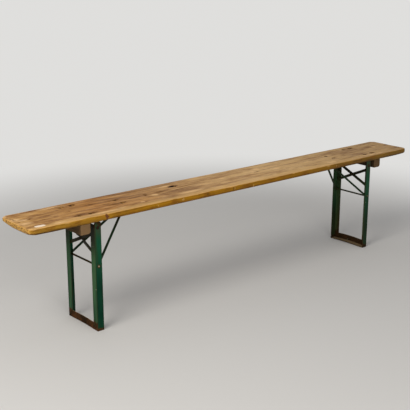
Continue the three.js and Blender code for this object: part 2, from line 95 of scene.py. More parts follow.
def makeCamera(s):
    yaw, pitch, roll = s["yaw"], s["pitch"], s["roll"]
    level = Vector((math.sin(yaw), math.cos(yaw), 0))
    forward = level * math.cos(pitch) + Vector((0, 0, math.sin(pitch)))
    right = Vector((math.cos(yaw), -math.sin(yaw), 0))
    up = right.cross(forward)
    rolledRight = right * math.cos(roll) + up * math.sin(roll)
    rolledUp = up * math.cos(roll) - right * math.sin(roll)
    turn = Matrix((rolledRight, rolledUp, -forward)).transposed()
    data = bpy.data.cameras.new("photoCamera")
    data.sensor_width = s["sensor"]
    data.lens = s["sensor"] * s["focalPixels"] / s["imagePixels"]
    camera = addObject("photoCamera", data)
    camera.matrix_world = Matrix.Translation(s["place"]) @ turn.to_4x4()
    bpy.context.scene.camera = camera


# Node helpers. A Flow is what a node gives out, and a sum of Flows makes the nodes that it takes.
class Flow:
    def __init__(self, socket):
        self.socket, self.tree = socket, socket.id_data

    def __add__(self, other):
        return calc("ADD", self, other)

    def __radd__(self, other):
        return calc("ADD", other, self)

    def __sub__(self, other):
        return calc("SUBTRACT", self, other)

    def __mul__(self, other):
        return calc("MULTIPLY", self, other)

    def __abs__(self):
        return calc("ABSOLUTE", self)


def plug(socket, value):
    if isinstance(value, Flow):
        value.tree.links.new(value.socket, socket)
    else:
        socket.default_value = value


def addNode(tree, kind, inputs=None, **settings):
    made = tree.nodes.new(kind)
    for name, value in settings.items():
        setattr(made, name, value)
    for name, value in (inputs or {}).items():
        plug(made.inputs[name], value)
    return made


def flow(tree, kind, output, inputs=None, **settings):
    return Flow(addNode(tree, kind, inputs, **settings).outputs[output])


def treeOf(*values):
    return next(value.tree for value in values if isinstance(value, Flow))


def sRgb(red, green, blue):
    linear = []
    for part in (red, green, blue):
        share = part / 255
        linear.append(share / 12.92 if share <= 0.04045 else ((share + 0.055) / 1.055) ** 2.4)
    return (*linear, 1.0)


def calc(operation, first, second=0.0):
    inputs = {0: first, 1: second}
    return flow(treeOf(first, second), "ShaderNodeMath", 0, inputs, operation=operation)


def vectorCalc(operation, first, second=(0, 0, 0)):
    output = "Value" if operation == "LENGTH" else "Vector"
    inputs = {0: first, 1: second}
    return flow(first.tree, "ShaderNodeVectorMath", output, inputs, operation=operation)


def axesOf(vector):
    parts = addNode(vector.tree, "ShaderNodeSeparateXYZ", {0: vector})
    return [Flow(parts.outputs[axis]) for axis in "XYZ"]


def strongest(first, *others):
    for other in others:
        first = calc("MAXIMUM", first, other)
    return first


def slide(value, low, high, start=0.0, end=1.0):
    inputs = {"Value": value, "From Min": low, "From Max": high, "To Min": start, "To Max": end}
    kind = "ShaderNodeMapRange"
    return flow(value.tree, kind, "Result", inputs, interpolation_type="SMOOTHSTEP")


def noiseOf(vector, scale, detail=3.0, rough=0.5, distortion=0.0, move=(0, 0, 0)):
    mapping = {"Vector": vector, "Scale": scale, "Location": move}
    mapped = flow(vector.tree, "ShaderNodeMapping", "Vector", mapping)
    inputs = {"Vector": mapped, "Scale": 1.0, "Detail": detail, "Roughness": rough}
    inputs["Distortion"] = distortion
    return flow(vector.tree, "ShaderNodeTexNoise", "Fac", inputs)


def mixColour(factor, first, second):
    inputs = {0: factor, 6: first, 7: second}
    return flow(treeOf(factor, first, second), "ShaderNodeMix", 2, inputs, data_type="RGBA")


def colourSteps(value, steps):
    made = addNode(value.tree, "ShaderNodeValToRGB", {"Fac": value})
    stops = made.color_ramp.elements
    while len(stops) < len(steps):
        stops.new(0.5)
    for stop, (place, colour) in zip(stops, steps):
        stop.position = place
        stop.color = colour
    return Flow(made.outputs["Color"])


def coat(shader, colour, roughness, relief, strength, distance):
    bump = {"Height": relief, "Strength": strength, "Distance": distance}
    plug(shader.inputs["Base Color"], colour)
    plug(shader.inputs["Roughness"], roughness)
    plug(shader.inputs["Normal"], flow(relief.tree, "ShaderNodeBump", "Normal", bump))


def newMaterial(name, shine=0.5):
    material = bpy.data.materials.new(name)
    material.use_nodes = True
    shader = material.node_tree.nodes["Principled BSDF"]
    shader.inputs["Specular IOR Level"].default_value = shine
    place = addNode(material.node_tree, "ShaderNodeTexCoord").outputs
    return material, shader, Flow(place["Object"]), Flow(place["Normal"])


# A soft-edged ellipsoid mask, used for knots, stains and rust halos.
def makeSpotGroup():
    group = bpy.data.node_groups.new("spot", "ShaderNodeTree")
    for name in ("Vector", "Centre", "Size"):
        group.interface.new_socket(name, in_out="INPUT", socket_type="NodeSocketVector")
    group.interface.new_socket("Mask", in_out="OUTPUT", socket_type="NodeSocketFloat")
    given = group.nodes.new("NodeGroupInput").outputs
    away = vectorCalc("SUBTRACT", Flow(given["Vector"]), Flow(given["Centre"]))
    reach = vectorCalc("LENGTH", vectorCalc("DIVIDE", away, Flow(given["Size"])))
    plug(group.nodes.new("NodeGroupOutput").inputs["Mask"], slide(reach, 1.0, 0.0))
    return group


spotGroup = makeSpotGroup()


def spot(vector, centre, size):
    inputs = {"Vector": vector, "Centre": centre, "Size": size}
    return flow(vector.tree, "ShaderNodeGroup", "Mask", inputs, node_tree=spotGroup)


# The late wood of year rings, from the distances to the tree's middle in two directions.
def ringsOf(first, second, width, rise, fall):
    across = flow(first.tree, "ShaderNodeCombineXYZ", 0, {"X": first, "Y": second})
    ring = calc("FRACT", vectorCalc("LENGTH", across) * (1 / width))
    return slide(ring, *rise) * slide(ring, *fall)


makeCamera(cameraSettings)
print("camera placed")

# Worn ochre lacquer over pine. The top is rubbed to bare wood, the sides keep their lacquer.
plankFinish = {
    # X, bare wood and its darker grain at that place; the darker wood at the right end is partly
    # painted shade
    "woods": (
        (-1.06, sRgb(192, 147, 86), sRgb(126, 80, 34)),
        (-0.74, sRgb(168, 116, 56), sRgb(92, 54, 20)),
        (0.10, sRgb(210, 171, 115), sRgb(160, 119, 73)),
        (1.10, sRgb(178, 140, 88), sRgb(122, 86, 48)),
    ),
    "frontLight": sRgb(206, 164, 100),  # the strip beside the front arris
    # X and lacquer at that place; the fall to darker lacquer at the right end is partly painted
    # shade
    "lacquers": (
        (-1.06, sRgb(164, 120, 36)), (-0.60, sRgb(172, 118, 8)), (0.20, sRgb(152, 104, 4)),
        (1.10, sRgb(124, 90, 20)),
    ),
    "lacquerBrown": sRgb(124, 74, 12),
    "lacquerDark": sRgb(70, 46, 12),
    "bareEdge": sRgb(208, 162, 98),
    "nearWhite": sRgb(244, 224, 200),
    "redMark": sRgb(104, 58, 32),
    "endPale": sRgb(208, 158, 76),
    "endDark": sRgb(92, 58, 18),
    "belowPale": sRgb(140, 106, 62),
    "belowDark": sRgb(96, 68, 40),
    "stain": sRgb(84, 46, 12),
    "knot": sRgb(88, 46, 18),
    "paleKnot": sRgb(230, 188, 132),
    # the hole colour is painted shade inside the knot hole
    "hole": sRgb(24, 10, 2),
    "pith": (0.045, 0.395),  # Y and Z of the tree's middle
    "ringWidth": 0.0046,
    # X, Y, half length, half width and darkness of each stain; one is painted shade, marked below
    "stains": (
        (-0.858, 0.07, 0.05, 0.009, 0.62), (-0.806, 0.074, 0.024, 0.014, 0.95),
        (-0.868, -0.068, 0.034, 0.008, 0.85), (-0.798, -0.068, 0.028, 0.009, 1.0),
        (-0.93, -0.068, 0.045, 0.006, 0.45), (-0.662, 0.026, 0.055, 0.009, 0.5),
        (-0.628, 0.026, 0.018, 0.012, 0.95), (-0.67, -0.024, 0.055, 0.01, 0.55),
        (-0.624, -0.022, 0.018, 0.01, 0.95), (0.632, 0.025, 0.018, 0.01, 0.62),
        (0.636, -0.028, 0.024, 0.01, 0.6), (0.816, 0.07, 0.026, 0.011, 0.8),
        (0.866, 0.07, 0.024, 0.012, 1.0), (0.816, -0.071, 0.026, 0.011, 1.0),
        (0.872, -0.07, 0.026, 0.012, 1.0), (-0.33, -0.006, 0.085, 0.016, 0.45),
        (-0.49, 0.012, 0.014, 0.018, 0.85), (-0.41, 0.01, 0.05, 0.012, 0.6),
        (1.092, 0.008, 0.024, 0.008, 0.95), (1.066, 0.004, 0.022, 0.007, 0.5),
        (-0.556, -0.074, 0.026, 0.007, 0.6), (-1.032, 0.01, 0.022, 0.01, 0.6),
        (-1.06, 0.016, 0.03, 0.006, 0.35), (0.036, -0.006, 0.026, 0.01, 0.35),
        (-0.97, -0.006, 0.06, 0.008, 0.4), (-0.92, 0.036, 0.12, 0.014, 0.35),
        (-0.25, 0.024, 0.11, 0.01, 0.5), (-0.69, -0.084, 0.04, 0.006, 0.4),
        (-0.76, 0.03, 0.13, 0.012, 0.4), (-0.86, 0.006, 0.02, 0.01, 0.45),
        (-0.94, -0.022, 0.018, 0.012, 0.4), (-0.72, 0.08, 0.06, 0.006, 0.35),
        (0.152, 0.012, 0.012, 0.01, 0.55), (0.205, 0.02, 0.018, 0.01, 0.35),
        (0.76, 0.018, 0.07, 0.01, 0.35), (0.96, 0.02, 0.05, 0.016, 0.45),
        (1.06, -0.07, 0.03, 0.007, 0.4), (1.01, -0.04, 0.06, 0.008, 0.3),
        (0.48, 0.036, 0.06, 0.006, 0.25), (-0.54, 0.09, 0.08, 0.007, 0.3),
        # the first mark on the next line is painted shade: a dark line beside the left end's top
        # arris
        (-1.083, 0.042, 0.006, 0.034, 0.6), (-1.096, -0.086, 0.008, 0.014, 0.4),
        (-1.02, 0.021, 0.026, 0.012, 0.42), (-1.08, 0.0, 0.026, 0.005, 0.7),
        (1.083, 0.008, 0.022, 0.008, 0.8), (-0.985, 0.034, 0.05, 0.007, 0.45),
    ),
    "redBand": (-0.765, 0.469, 0.0115, 0.019),  # X and Z, half length and half height
    "stainDepth": 0.012,
    "waver": (0.030, 0.008, 0.004),  # how far the outlines of the marks stray
    "shine": 0.14,
    "stainShine": 0.02,
    # X, Y, half length and half width of each pale knot or rubbed patch
    "palePatches": (
        (-0.456, -0.012, 0.026, 0.02), (0.175, 0.048, 0.04, 0.024), (0.262, 0.0, 0.036, 0.012),
        (-0.345, 0.07, 0.045, 0.014), (-1.08, 0.032, 0.03, 0.028), (-0.3, -0.066, 0.11, 0.018),
        (-0.965, -0.098, 0.05, 0.012), (-0.56, -0.066, 0.011, 0.011), (0.56, -0.08, 0.05, 0.016),
        (-0.76, -0.09, 0.12, 0.01), (0.9, -0.096, 0.04, 0.01), (0.99, 0.018, 0.018, 0.016),
        (-1.07, -0.03, 0.04, 0.022), (-0.06, 0.02, 0.03, 0.012), (0.11, 0.004, 0.024, 0.008),
        (-1.092, 0.098, 0.012, 0.018), (0.14, 0.03, 0.01, 0.026), (0.226, 0.036, 0.01, 0.022),
        (-1.058, 0.014, 0.03, 0.014), (0.846, -0.092, 0.026, 0.012), (-0.9, 0.094, 0.09, 0.009),
    ),
    "whitePatch": (-1.045, -0.090, 0.034, 0.016),
    # X, Z, half length and half height of the chips and knocks on the front face
    "paleMarks": (
        (0.007, 0.463, 0.0055, 0.011), (-0.101, 0.469, 0.0055, 0.012), (0.556, 0.468, 0.006, 0.011),
        (-0.52, 0.467, 0.005, 0.01), (-0.386, 0.47, 0.006, 0.01), (0.5, 0.474, 0.02, 0.005),
        (0.572, 0.465, 0.004, 0.008), (-0.94, 0.476, 0.02, 0.005),
    ),
    "darkMarks": (
        (-0.11, 0.467, 0.0045, 0.013), (-0.252, 0.469, 0.016, 0.008), (0.71, 0.47, 0.06, 0.006),
        (-0.529, 0.465, 0.0035, 0.01), (0.8, 0.462, 0.05, 0.008),
    ),
}


def alongPlank(along, steps):
    share = along * (1 / layout["plankLength"]) + 0.5
    return colourSteps(share, [(x / layout["plankLength"] + 0.5, colour) for x, colour in steps])


def makePlankFinish(f):
    material, shader, where, facing = newMaterial("wornLacqueredPine")
    seat = layout["seatHeight"]
    along, across, height = axesOf(where)
    endward, _, up = axesOf(facing)

    # the grain's lines wander, and flow round the knots
    wander = noiseOf(where, (1.3, 5.0, 5.0), 3.0, 0.55)
    shiver = noiseOf(where, (9.0, 60.0, 60.0), 2.0, 0.5)
    warp = (wander - 0.5) * 0.055 + (shiver - 0.5) * 0.0035
    swells = [
        spot(where, (x, y, seat), (a * 2.6, b * 2.2, 0.03)) * 0.011
        for x, y, a, b in f["palePatches"][:3]
    ]
    pithY, pithZ = f["pith"]
    above = sum(swells, height - pithZ + warp * 0.8)
    lateWood = ringsOf(across - pithY + warp, above, f["ringWidth"], (0.35, 0.88), (1.0, 0.93))

    streak = noiseOf(where, (5.5, 62.0, 62.0), 5.0, 0.68, 0.4)
    flecks = noiseOf(where, (34.0, 170.0, 170.0), 3.0, 0.62, 0.3)
    lines = noiseOf(where, (3.0, 240.0, 240.0), 2.0, 0.55, 0.2, (0, 0.7, 0))
    broad = noiseOf(where, (3.4, 14.0, 14.0), 3.0, 0.5, 0.4, (3.1, 0, 0))
    fibre = noiseOf(where, (14.0, 900.0, 900.0), 2.0, 0.6)
    blotch = noiseOf(where, (13.0, 34.0, 34.0), 4.0, 0.62)
    grain = (
        slide(streak, 0.42, 0.68, 0.0, 0.85) + slide(broad, 0.42, 0.64, 0.0, 0.5)
        + slide(flecks, 0.48, 0.74, 0.0, 0.4) + lateWood * 0.22
        + slide(fibre, 0.5, 0.9, 0.0, 0.1) + slide(blotch, 0.48, 0.72, 0.0, 0.45)
        + slide(lines, 0.52, 0.76, 0.0, 0.3) - 0.28
    )
    top = mixColour(
        grain,
        alongPlank(along, [(x, pale) for x, pale, _ in f["woods"]]),
        alongPlank(along, [(x, dark) for x, _, dark in f["woods"]]),
    )
    scuffs = slide(streak + blotch * 0.6, 0.72, 0.56)
    top = mixColour(scuffs * 0.4, top, f["paleKnot"])
    fromFront = across + halfWidth + broad * 0.06
    leftward = slide(along, 1.02, 0.55)
    strip = slide(fromFront, 0.078, 0.05) * leftward
    top = mixColour(strip * 0.55, top, f["frontLight"])

    # lacquer that is left on the sides and ends
    side = slide(abs(up), 0.93, 0.66)
    browner = slide(blotch, 0.46, 0.68, 0.0, 0.75)
    lacquer = mixColour(browner, alongPlank(along, f["lacquers"]), f["lacquerBrown"])
    # painted shade: the lacquer darkens along the lower edge of the sides, most towards the ends
    lowEdgeShade = slide(height, underside + 0.012, underside + 0.002)
    dull = (
        lateWood * 0.2 + slide(broad, 0.5, 0.8, 0.0, 0.5) + slide(flecks, 0.52, 0.76, 0.0, 0.4)
        + lowEdgeShade * slide(abs(along), 0.8, 1.05, 0.42, 0.95)
    )
    lacquer = mixColour(dull, lacquer, f["lacquerDark"])
    colour = mixColour(side, top, lacquer)

    # the upper arris is worn to pale wood in places, with ragged limits
    ragged = noiseOf(where, (18.0, 40.0, 90.0), 4.0, 0.65)
    highArris = slide(height, seat - 0.0085, seat - 0.003) * slide(up, 0.998, 0.93)
    rubbed = slide(highArris + ragged * 1.4, 1.42, 1.75)
    paleShare = rubbed * leftward * slide(up, 0.15, 0.45)
    colour = mixColour(paleShare * 0.7, colour, f["bareEdge"])

    # stains and knots, with wavering outlines
    depth = f["stainDepth"]
    waves = {"Vector": where, "Scale": 70.0, "Detail": 2.0}
    waver = flow(where.tree, "ShaderNodeTexNoise", "Color", waves)
    waver = vectorCalc("MULTIPLY", vectorCalc("SUBTRACT", waver, (0.5, 0.5, 0.5)), f["waver"])
    wavy = vectorCalc("ADD", where, waver)
    patches = [spot(wavy, (x, y, seat), (a, b, depth)) for x, y, a, b in f["palePatches"]]
    pale = strongest(*patches)
    colour = mixColour(pale * 0.8, colour, f["paleKnot"])
    # a near-white patch on the top near the front of the left end, smoother than the wood round it
    x, y, a, b = f["whitePatch"]
    white = spot(wavy, (x, y, seat), (a, b, depth))
    white = slide(white * (streak + 0.5), 0.15, 0.45)
    colour = mixColour(white * 0.85, colour, f["nearWhite"])
    stains = [
        spot(wavy, (x, y, seat), (a * 1.2, b * 1.3, depth)) * level
        for x, y, a, b, level in f["stains"]
    ]
    dark = slide(strongest(*stains), 0.03, 0.78, 0.0, 0.95)
    darkGrain = dark * slide(flecks, 0.3, 0.6, 0.75, 1.1)
    colour = mixColour(darkGrain, colour, f["stain"])
    plug(shader.inputs["Specular IOR Level"], slide(dark, 0.1, 0.7, f["shine"], f["stainShine"]))
    x, z, a, b = f["redBand"]
    redBand = spot(wavy, (x, -halfWidth, z), (a, 0.012, b))
    colour = mixColour(slide(redBand, 0.0, 0.5, 0.0, 0.92), colour, f["redMark"])
    holes = spot(wavy, (knotHole["x"], knotHole["y"], seat), (0.036, 0.02, 0.02))
    colour = mixColour(slide(holes, 0.0, 0.35, 0.0, 0.8), colour, f["knot"])
    # painted shade: the inside of the knot hole is painted near black
    deep = slide(height, seat - 0.0003, seat - 0.0012)
    holeShade = deep * slide(holes, 0.05, 0.2)
    colour = mixColour(holeShade, colour, f["hole"])
    for marks, tone in (("paleMarks", "bareEdge"), ("darkMarks", "lacquerDark")):
        chips = [spot(wavy, (x, -halfWidth, z), (a, 0.008, b)) for x, z, a, b in f[marks]]
        colour = mixColour(slide(strongest(*chips), 0.0, 0.8, 0.0, 0.5), colour, f[tone])

    # end grain drinks more light and shows the rings
    endFace = slide(abs(endward), 0.6, 0.95)
    pores = noiseOf(where, (130.0, 130.0, 130.0), 3.0, 0.65)
    porous = lateWood * 0.35 + slide(pores, 0.46, 0.6, 0.0, 0.95)
    endColour = mixColour(porous, f["endPale"], f["endDark"])
    # the end faces darken towards the right end, partly painted shade
    endColour = mixColour(slide(along, -0.9, 0.9, 0.0, 0.75), endColour, f["lacquerDark"])
    colour = mixColour(endFace * 0.9, colour, endColour)

    # the underside keeps a duller coat
    below = slide(up, -0.6, -0.9)
    belowDark = slide(streak, 0.3, 0.7) + lateWood * 0.35
    belowColour = mixColour(belowDark, f["belowPale"], f["belowDark"])
    colour = mixColour(below, colour, belowColour)

    roughness = (
        0.6 + side * -0.16 + rubbed * 0.12 + white * -0.25 + (blotch - 0.5) * 0.35 + below * 0.05
    )
    relief = lateWood * 0.4 + fibre * 0.35 + streak * 0.8 + flecks * 0.5
    coat(shader, colour, roughness, relief, 0.35, 0.0009)
    return material


# Bare pine of the battens, greyed with age.
battenFinish = {
    "pale": sRgb(92, 70, 42),
    "grey": sRgb(72, 55, 35),
    "dark": sRgb(48, 32, 16),
    "endPale": sRgb(138, 108, 74),
    "ringWidth": 0.0036,
    "pith": (0.868, 0.385),  # X and Z of the tree's middle
}


def makeBattenFinish(f):
    material, shader, where, facing = newMaterial("greyedPine", 0.12)
    x, _, z = axesOf(where)
    wander = noiseOf(where, (8.0, 2.5, 8.0), 3.0, 0.5)
    pithX, pithZ = f["pith"]
    aside, above = abs(x) - pithX + wander * 0.03, z - pithZ + wander * 0.02
    lateWood = ringsOf(aside, above, f["ringWidth"], (0.3, 0.9), (1.0, 0.94))
    streak = noiseOf(where, (60.0, 2.5, 60.0), 5.0, 0.6, 0.2)
    saw = noiseOf(where, (20.0, 420.0, 20.0), 2.0, 0.5)
    dirt = noiseOf(where, (16.0, 10.0, 16.0), 4.0, 0.6)
    colour = mixColour(slide(streak, 0.3, 0.7), f["pale"], f["grey"])
    colour = mixColour(lateWood * 0.4, colour, f["dark"])
    colour = mixColour(slide(dirt, 0.55, 0.8, 0.0, 0.6), colour, f["dark"])
    endFace = slide(abs(axesOf(facing)[1]), 0.6, 0.85)
    endDirt = lateWood * 0.45 + slide(dirt, 0.55, 0.85, 0.0, 0.4)
    endColour = mixColour(endDirt, f["endPale"], f["dark"])
    colour = mixColour(endFace * 0.85, colour, endColour)
    # painted shade: the right batten is darkened
    darkening = slide(x, -0.2, 0.2, 0.0, 0.5)
    colour = mixColour(darkening, colour, f["dark"])
    relief = saw * 0.5 + streak * 0.8 + lateWood * 0.3
    coat(shader, colour, slide(dirt, 0.3, 0.8, 0.72, 0.9), relief, 0.45, 0.0008)
    return material


# Old dark green enamel. Rust shows at the feet, at the tops, on the arrises and in chips.
ironFinish = {
    "paint": sRgb(24, 78, 52),
    "paintDeep": sRgb(2, 44, 30),
    # faded paint on the end flanges, also used as painted light on the right frame's far leg
    "paintFadedAndLit": sRgb(66, 96, 60),
    "paintDusty": sRgb(62, 66, 48),
    "grime": sRgb(50, 36, 10),
    # near black, for painted shade on the end flanges and to darken whole pieces
    "nearBlack": sRgb(26, 20, 6),
    "rust": sRgb(80, 50, 26),
    "rustDark": sRgb(36, 24, 10),
    "rustPale": sRgb(102, 70, 40),
    # settled dust and painted light on faces that look up
    "dustAndLight": sRgb(150, 128, 96),
    "chip": sRgb(186, 182, 150),
    # the end flanges take a painted shadow of the plank between these heights
    "shadowHeights": (0.270, 0.385),  # between which the end flanges grow dark
    "soleRust": (0.012, 0.040),  # how far rust has climbed up a side flange and an end flange
    "topRust": -0.006,  # from how far under the hinge axis the tops are rusty
    "axleChips": ((-0.8065, -0.1115, 0.2728), (0.8042, -0.1115, 0.2735)),
}


def rustParts(where, f):
    coarse = noiseOf(where, (26.0, 26.0, 26.0), 5.0, 0.65)
    fine = noiseOf(where, (160.0, 160.0, 160.0), 4.0, 0.7)
    scale = noiseOf(where, (600.0, 600.0, 600.0), 3.0, 0.7)
    rust = mixColour(slide(coarse, 0.35, 0.65), f["rustDark"], f["rust"])
    rust = mixColour(slide(fine, 0.58, 0.78), rust, f["rustPale"])
    rust = mixColour(slide(scale, 0.5, 0.8, 0.0, 0.5), rust, f["rustDark"])
    relief = fine * 0.8 + scale * 0.5 + coarse
    return rust, relief, coarse, fine


def makePaintedIron(name, f, bareLevel, edgeLevel, grimeLevel=0.0, darkLevel=0.0, dustAndLightLevel=0.0):
    material, shader, where, facing = newMaterial(name, 0.05)
    along, across, height = axesOf(where)
    endward, _, up = axesOf(facing)

    def fromLeft(left, right):
        return slide(along, -0.2, 0.2, left, right)

    rightEnd = fromLeft(0.0, 1.0)
    rust, rustRelief, coarse, fine = rustParts(where, f)
    edge = flow(where.tree, "ShaderNodeAttribute", "Fac", attribute_name="edgeWear")

    runs = noiseOf(where, (85.0, 85.0, 4.0), 4.0, 0.6, 0.2)
    cloud = noiseOf(where, (30.0, 30.0, 9.0), 4.0, 0.55)
    endFlange = slide(abs(endward), 0.6, 0.9)
    upper = slide(height + cloud * 0.1, 0.2, 0.4)
    deep = slide(cloud, 0.35, 0.7, 0.55, 1.0) + upper * -0.62
    paint = mixColour(deep, f["paint"], f["paintDeep"])
    faded = endFlange * slide(runs, 0.35, 0.62, 0.2, 0.8)
    paint = mixColour(faded, paint, f["paintFadedAndLit"])
    dusty = slide(height, 0.375, 0.425, 0.0, 0.8) * slide(cloud, 0.35, 0.6, 0.4, 1.0)
    paint = mixColour(dusty, paint, f["paintDusty"])
    farSide = slide(across, -0.02, 0.02)
    # painted light: the upper part of the right frame's far leg is lightened with the faded paint
    # colour
    farLegLight = rightEnd * farSide * slide(height, 0.16, 0.3, 0.0, 0.6)
    paint = mixColour(farLegLight, paint, f["paintFadedAndLit"])
    # the right frame's iron is darkened, more towards the bottom and on the far side
    darkening = slide(height, 0.26, 0.02, 0.22, 0.6) * slide(farSide, 0.0, 1.0, 0.6, 1.0)
    grime = (
        fromLeft(grimeLevel, grimeLevel * 0.55) + rightEnd * darkening
        + slide(runs, 0.58, 0.78) * 0.7 + edge * 0.5 + slide(cloud, 0.6, 0.9) * 0.5
    )
    paint = mixColour(grime, paint, f["grime"])
    # painted shade: the end flanges are darkened near their tops, where the plank's shadow falls;
    # darkLevel darkens the whole piece
    plankShadow = slide(height + runs * 0.06 - 0.03, *f["shadowHeights"], 0.0, 0.9)
    plankShadow = strongest(endFlange * plankShadow, darkLevel)
    paint = mixColour(plankShadow, paint, f["nearBlack"])

    onSide, onEnd = f["soleRust"]
    climb = slide(endFlange, 0.0, 1.0, onSide, onEnd) + rightEnd * 0.01
    sole = slide(height - climb, 0.016, -0.016)
    fullRust = layout["hingeHeight"] - f["topRust"]
    head = slide(height, fullRust - 0.022, fullRust)
    x, y, z = layout["hingeX"], layout["frameHalf"], layout["axleHeight"]
    places = [(side * x, edgeSide * y, z) for _, side in ends for _, edgeSide in edges]
    axle = strongest(*[spot(where, place, (0.014, 0.012, 0.02)) for place in places])
    kept = spot(where, (x, -y, z), (0.024, 0.014, 0.024))
    level = (
        bareLevel + sole * 0.62 + head * fromLeft(0.44, 0.1) + edge * edgeLevel
        + axle * 0.3 + kept * -0.45 + (coarse - 0.5) * 0.9 + (fine - 0.5) * 0.75
    )
    bare = slide(level, 0.46, 0.54)
    rim = slide(level, 0.38, 0.46) * 0.45
    colour = mixColour(rim, paint, f["grime"])
    darker = strongest(head * 0.6, rightEnd * 0.7)
    colour = mixColour(bare, colour, mixColour(darker, rust, f["rustDark"]))
    specks = noiseOf(where, (95.0, 95.0, 70.0), 2.0, 0.5, 0.0, (1.7, 0.4, 0.9))
    chips = slide(specks, 0.745, 0.765) * slide(height, 0.4, 0.34)
    colour = mixColour(chips * 0.8, colour, f["chip"])
    # the upward faces are lightened, partly settled dust and partly painted light falling on them
    facingUp = slide(up + coarse * 0.2, 0.8, 1.05)
    dustAndLightShare = facingUp * fromLeft(dustAndLightLevel, dustAndLightLevel * 0.8)
    colour = mixColour(dustAndLightShare, colour, f["dustAndLight"])
    rivetEnds = strongest(*[spot(where, chip, (0.0042, 0.01, 0.005)) for chip in f["axleChips"]])
    shining = slide(rivetEnds, 0.1, 0.5) * fromLeft(0.7, 0.25)
    colour = mixColour(shining, colour, f["chip"])
    roughness = 0.4 + bare * 0.4 + slide(cloud, 0.4, 0.8) * 0.16
    relief = bare * -0.8 + rustRelief * bare + cloud * 0.35 + runs * 0.15
    coat(shader, colour, roughness, relief, 0.5, 0.0006)
    return material


# Dull steel of the bolts, nuts, brackets and catches, with light rust.
steelFinish = {
    "steel": sRgb(84, 80, 76),
    "steelDark": sRgb(52, 47, 43),
    "rust": sRgb(54, 36, 18),
    "rustDark": sRgb(28, 18, 8),
    "rustPale": sRgb(72, 48, 26),
}


def makeSteel(name, f, rustShare, metal, gloss):
    material, shader, where, _ = newMaterial(name, 0.2)
    rust, relief, coarse, fine = rustParts(where, f)
    worn = noiseOf(where, (240.0, 240.0, 240.0), 3.0, 0.6)
    steel = mixColour(slide(worn, 0.35, 0.7), f["steel"], f["steelDark"])
    level = rustShare + (coarse - 0.5) * 1.2 + (fine - 0.5) * 0.8
    bare = slide(level, 0.42, 0.58)
    plug(shader.inputs["Metallic"], slide(bare, 0.0, 1.0, metal, 0.1))
    roughness = gloss + bare * 0.35 + worn * 0.12
    coat(shader, mixColour(bare, steel, rust), roughness, relief * bare + worn * 0.3, 0.4, 0.0004)
    return material


knotHole = {"x": -0.315, "y": 0.050, "halfLength": 0.021, "halfWidth": 0.0105, "depth": 0.011}
finishes = {
    "plank": makePlankFinish(plankFinish),
    "batten": makeBattenFinish(battenFinish),
    "leg": makePaintedIron("chippedGreenEnamel", ironFinish, 0.02, 0.24),
    "brace": makePaintedIron("grimyGreenBars", ironFinish, 0.26, 0.20, 0.82, 0.20),
    "axle": makePaintedIron("brownRod", ironFinish, 0.44, 0.0, 0.80, 0.15),
    "foot": makePaintedIron("rustedFootIron", ironFinish, 0.40, 0.20, 0.40, 0.0, 0.55),
    "bow": makePaintedIron("grimyGreenRod", ironFinish, 0.06, 0.0, 0.35, 0.45),
    "steel": makeSteel("dullSteel", steelFinish, 0.32, 0.75, 0.42),
    "rustySteel": makeSteel("rustySteel", steelFinish, 0.90, 0.1, 0.55),
    "spring": makeSteel("springSteel", steelFinish, 0.12, 0.9, 0.32),
}
print("finishes made:", len(finishes))


# Mesh helpers. An outline is a list of points in two directions, and a block runs it along
# the third.
def meshObject(name, vertices, faces):
    mesh = bpy.data.meshes.new(name)
    mesh.from_pydata([tuple(v) for v in vertices], [], [tuple(f) for f in faces])
    mesh.update()
    return addObject(name, mesh)


def lineObject(name, lines):
    points, pairs = [], []
    for line in lines:
        first = len(points)
        points += line
        pairs += [(i, i + 1) for i in range(first, len(points) - 1)]
    made = meshObject(name, points, [])
    made.data.edges.add(len(pairs))
    for edge, pair in zip(made.data.edges, pairs):
        edge.vertices = pair
    return made


def pointOutwards(obj):
    shape = bmesh.new()
    shape.from_mesh(obj.data)
    bmesh.ops.remove_doubles(shape, verts=shape.verts, dist=1e-7)
    bmesh.ops.recalc_face_normals(shape, faces=shape.faces)
    shape.to_mesh(obj.data)
    shape.free()
    return obj


# Closes a skin over rings of as many points each, with a flat face at both ends.
def skin(name, rings):
    count = len(rings[0])
    vertices = [point for ring in rings for point in ring]
    starts = range(0, len(vertices), count)
    faces = [range(count)[::-1], range(starts[-1], starts[-1] + count)]
    for low, high in zip(starts, starts[1:]):
        for i in range(count):
            j = (i + 1) % count
            faces.append((low + i, low + j, high + j, high + i))
    return pointOutwards(meshObject(name, vertices, faces))


def block(name, outline, start, end, across, up, steps=1):
    across, up = Vector(across), Vector(up)
    away = across.cross(up)
    depths = [start + (end - start) * step / steps for step in range(steps + 1)]
    return skin(name, [[across * a + up * b + away * d for a, b in outline] for d in depths])


def blockAlongX(name, outline, start, end):
    return block(name, outline, start, end, (0, 1, 0), (0, 0, 1))


def blockAlongY(name, outline, start, end, steps=1):
    return block(name, outline, -end, -start, (1, 0, 0), (0, 0, 1), steps)


def blockAlongZ(name, outline, start, end):
    return block(name, outline, start, end, (1, 0, 0), (0, 1, 0))


def arcOf(radius, start, end, count, x=0.0, y=0.0):
    angles = np.linspace(start, end, count)
    return [(x + radius * math.cos(a), y + radius * math.sin(a)) for a in angles]


def roundAt(corner, before, after, radius, steps):
    corner, before, after = Vector(corner), Vector(before), Vector(after)
    back, ahead = (before - corner).normalized(), (after - corner).normalized()
    half = back.angle(ahead) / 2
    centre = corner + (back + ahead).normalized() * (radius / math.sin(half))
    first = corner + back * (radius / math.tan(half)) - centre
    last = corner + ahead * (radius / math.tan(half)) - centre
    sweep = first.angle(last)
    points = []
    for step in range(steps + 1):
        share = step / steps
        turned = first * math.sin((1 - share) * sweep) + last * math.sin(share * sweep)
        points.append(tuple(centre + turned / math.sin(sweep)))
    return points


